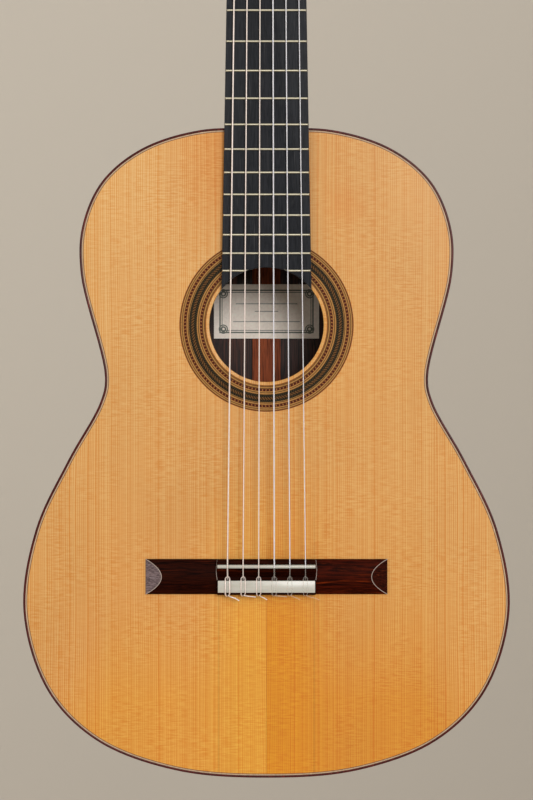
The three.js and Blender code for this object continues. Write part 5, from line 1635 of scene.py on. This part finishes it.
@dataclass
class Strings:
    """The six strings: tied at the bridge, over the saddle and nut, and up to their rollers."""

    bridge: Bridge
    machines: Machines
    saddle_top: float = 11.3
    nut_groove: float = 7.2

    def build(self) -> None:
        """Builds each string and its tie."""
        for gauge in STRINGS:
            self.build_length(gauge)
            self.build_tie(gauge)

    def build_length(self, gauge: StringGauge) -> None:
        """Builds a string from the back of the saddle to the front of its roller."""
        radius = gauge.radius
        saddle = -self.saddle_top - radius
        nut = -self.nut_groove - radius - 0.02
        reach = self.machines.roller_radius + radius * 0.75
        tangent = head_tilt() @ Vector((gauge.winding_x, self.machines.roller_y - reach,
                                        self.machines.stations[gauge.station]))
        path = [
            Vector((gauge.saddle_x(), saddle + 0.12, SADDLE_Z - 0.9)),
            Vector((gauge.saddle_x(), saddle, SADDLE_Z)),
            Vector((gauge.nut_x(), nut, NUT_Z + 0.3)),
            Vector((gauge.nut_x(), nut + 0.05, NUT_Z + 3.0)),
            Vector((gauge.nut_x(), nut + 0.4, NUT_Z + 4.4)),
            tangent,
        ]
        Solid.tube(path, radius, 12).finish(f"string_length_{gauge.number}", gauge.look(),
                                            stands_for=[f"string_{gauge.number}"], smooth_under=60)

    def build_tie(self, gauge: StringGauge) -> None:
        """Builds the tied end: through the block, back over it, round the string and out to a tail."""
        x, r = gauge.saddle_x(), gauge.radius
        bottom = SADDLE_Z - self.bridge.rear
        block = bottom + self.bridge.block_width
        over = -self.bridge.block_height - 1.5 - r
        wide = 1.25 + r * 0.6
        reach, drop = gauge.tail
        points = [
            (x, -self.bridge.hole_height, bottom + 0.2), (x - 0.3, -5.6, bottom - r - 0.5),
            (x - wide * 0.8, -8.6, bottom - r * 0.6), (x - wide, over - 0.1, bottom + 1.6),
            (x - wide, over - 0.1, block - 1.2), (x - wide, over + 0.5, block + 0.7),
            (x - wide * 0.8, over + 2.0, block + 1.9), (x, over + 3.1 + r, block + 2.6),
            (x + wide * 0.8, over + 2.0, block + 1.9), (x + wide, over + 0.5, block + 0.7),
            (x + wide, over - 0.1, block - 1.2), (x + wide, over - 0.1, bottom + 1.6),
            (x + wide * 0.7, -8.5, bottom + 0.1), (x + 0.7, -8.7, bottom - r * 0.6),
            (x + 0.3 * reach, -7.9, bottom - 0.6 - 0.25 * drop),
            (x + 0.65 * reach, -7.7, bottom - 0.8 - 0.5 * drop),
            (x + reach, -8.0, bottom - 0.8 - drop),
        ]
        saddle = -self.saddle_top - r
        lead = [(x, -self.bridge.hole_height, bottom + 0.1), (x, -self.bridge.hole_height, block + 0.4),
                (x, saddle + 0.9, SADDLE_Z - 2.2), (x, saddle + 0.12, SADDLE_Z - 0.9)]
        look = NYLON_TIE if gauge.look() is NYLON else gauge.look()
        knot = Solid.tube(smooth_line([Vector(p) for p in points], 6), r * 0.92, 10)
        knot.joined(Solid.tube([Vector(p) for p in lead], r, 10))
        knot.finish(f"string_tie_{gauge.number}", look, smooth_under=60)


# ---- The studio ----------------------------------------------------------------------------------


@dataclass(frozen=True)
class Lamp:
    """One soft distant light: where it shines from, how strong and wide it is, and its colour."""

    name: str
    place: tuple[float, float, float]
    strength: float
    width: float
    colour: str


@dataclass
class Studio:
    """A pale paper room with a coved floor, wide soft lights and the camera, square to the guitar's front."""

    distance: float = 1.5
    frame_height: float = 0.5939
    look_height: float = 280.5
    floor: float = -3.6
    wall_radius: float = 7.5
    cove: float = 1.2
    ambient: float = 0.22
    lamps: tuple[Lamp, ...] = (
        Lamp("key_light", (0.26, -1.0, 0.20), 1.77, 22.0, "#ffffff"),
        Lamp("left_light", (-0.85, -1.0, 0.30), 0.75, 50.0, "#ffffff"),
        Lamp("right_light", (1.0, -1.0, 0.0), 0.28, 50.0, "#ffffff"),
        Lamp("rear_light", (0.6, 1.0, 0.6), 2.5, 50.0, "#ffffff"),
        Lamp("rear_fill", (-1.0, 0.8, 0.2), 1.5, 60.0, "#ffffff"),
    )

    def build(self) -> None:
        """Builds the room, the lights and the camera."""
        self.build_room()
        self.build_lights()
        self.build_camera()

    def build_room(self) -> None:
        """Builds the floor, which curves up all round into a wall that throws no shadow."""
        radius, cove = self.wall_radius, self.cove
        profile = [Vector((0.0, 0.0, self.floor)), Vector((radius - cove, 0.0, self.floor))]
        for i in range(1, 13):
            turn = math.pi / 2 * i / 12
            profile.append(Vector((radius - cove * (1 - math.sin(turn)), 0.0,
                                   self.floor + cove * (1 - math.cos(turn)))))
        profile.append(Vector((radius, 0.0, self.floor + 12.0)))
        sheet = bmesh.new()
        verts = [sheet.verts.new(point) for point in profile]
        edges = [sheet.edges.new(pair) for pair in zip(verts, verts[1:])]
        bmesh.ops.spin(sheet, geom=[*verts, *edges], cent=(0, 0, 0), axis=(0, 0, 1), dvec=(0, 0, 0),
                       angle=2 * math.pi, steps=96, use_merge=True)
        bmesh.ops.remove_doubles(sheet, verts=sheet.verts, dist=1e-4)
        bmesh.ops.recalc_face_normals(sheet, faces=sheet.faces)
        if sum(face.normal.z for face in sheet.faces) < 0:
            bmesh.ops.reverse_faces(sheet, faces=sheet.faces)
        mesh = bpy.data.meshes.new("paper_room")
        sheet.to_mesh(mesh)
        sheet.free()
        mesh.shade_smooth()
        mesh.materials.append(BACKDROP.material())
        room = bpy.data.objects.new("paper_room", mesh)
        room.visible_shadow = False
        bpy.context.scene.collection.objects.link(room)

    def build_lights(self) -> None:
        """Builds the lights, an even ambient light and plain colour handling."""
        for lamp in self.lamps:
            data = bpy.data.lights.new(lamp.name, "SUN")
            data.energy = lamp.strength
            data.angle = math.radians(lamp.width)
            data.color = linear(lamp.colour)[:3]
            obj = bpy.data.objects.new(lamp.name, data)
            obj.rotation_euler = (-Vector(lamp.place)).to_track_quat("-Z", "Y").to_euler()
            bpy.context.scene.collection.objects.link(obj)
        world = bpy.data.worlds.new("studio_air")
        world.use_nodes = True
        air = world.node_tree.nodes["Background"]
        air.inputs["Color"].default_value = linear("#f2f2f2")
        air.inputs["Strength"].default_value = self.ambient
        bpy.context.scene.world = world
        bpy.context.scene.view_settings.view_transform = "Standard"

    def build_camera(self) -> None:
        """Builds the camera, level, square to the soundboard and a little below the middle of the body."""
        data = bpy.data.cameras.new("front_camera")
        data.sensor_width = 36.0
        data.lens = data.sensor_width * self.distance / self.frame_height
        data.clip_end = 60.0
        camera = bpy.data.objects.new("front_camera", data)
        target = DATUM.body @ Vector((0.0, 0.0, self.look_height))
        camera.location = target - Vector((0.0, self.distance, 0.0))
        camera.rotation_euler = (math.pi / 2, 0.0, 0.0)
        bpy.context.scene.collection.objects.link(camera)
        bpy.context.scene.camera = camera


def main() -> None:
    """Builds the guitar and its studio."""
    logging.basicConfig(level=logging.INFO, format="%(name)s: %(message)s")
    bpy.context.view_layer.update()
    bridge = Bridge()
    machines = Machines()
    for part in (Studio(), Soundbox(), Neck(), bridge, machines, Strings(bridge, machines)):
        log.info("building the %s", type(part).__name__.lower())
        part.build()


if __name__ == "__main__":
    main()
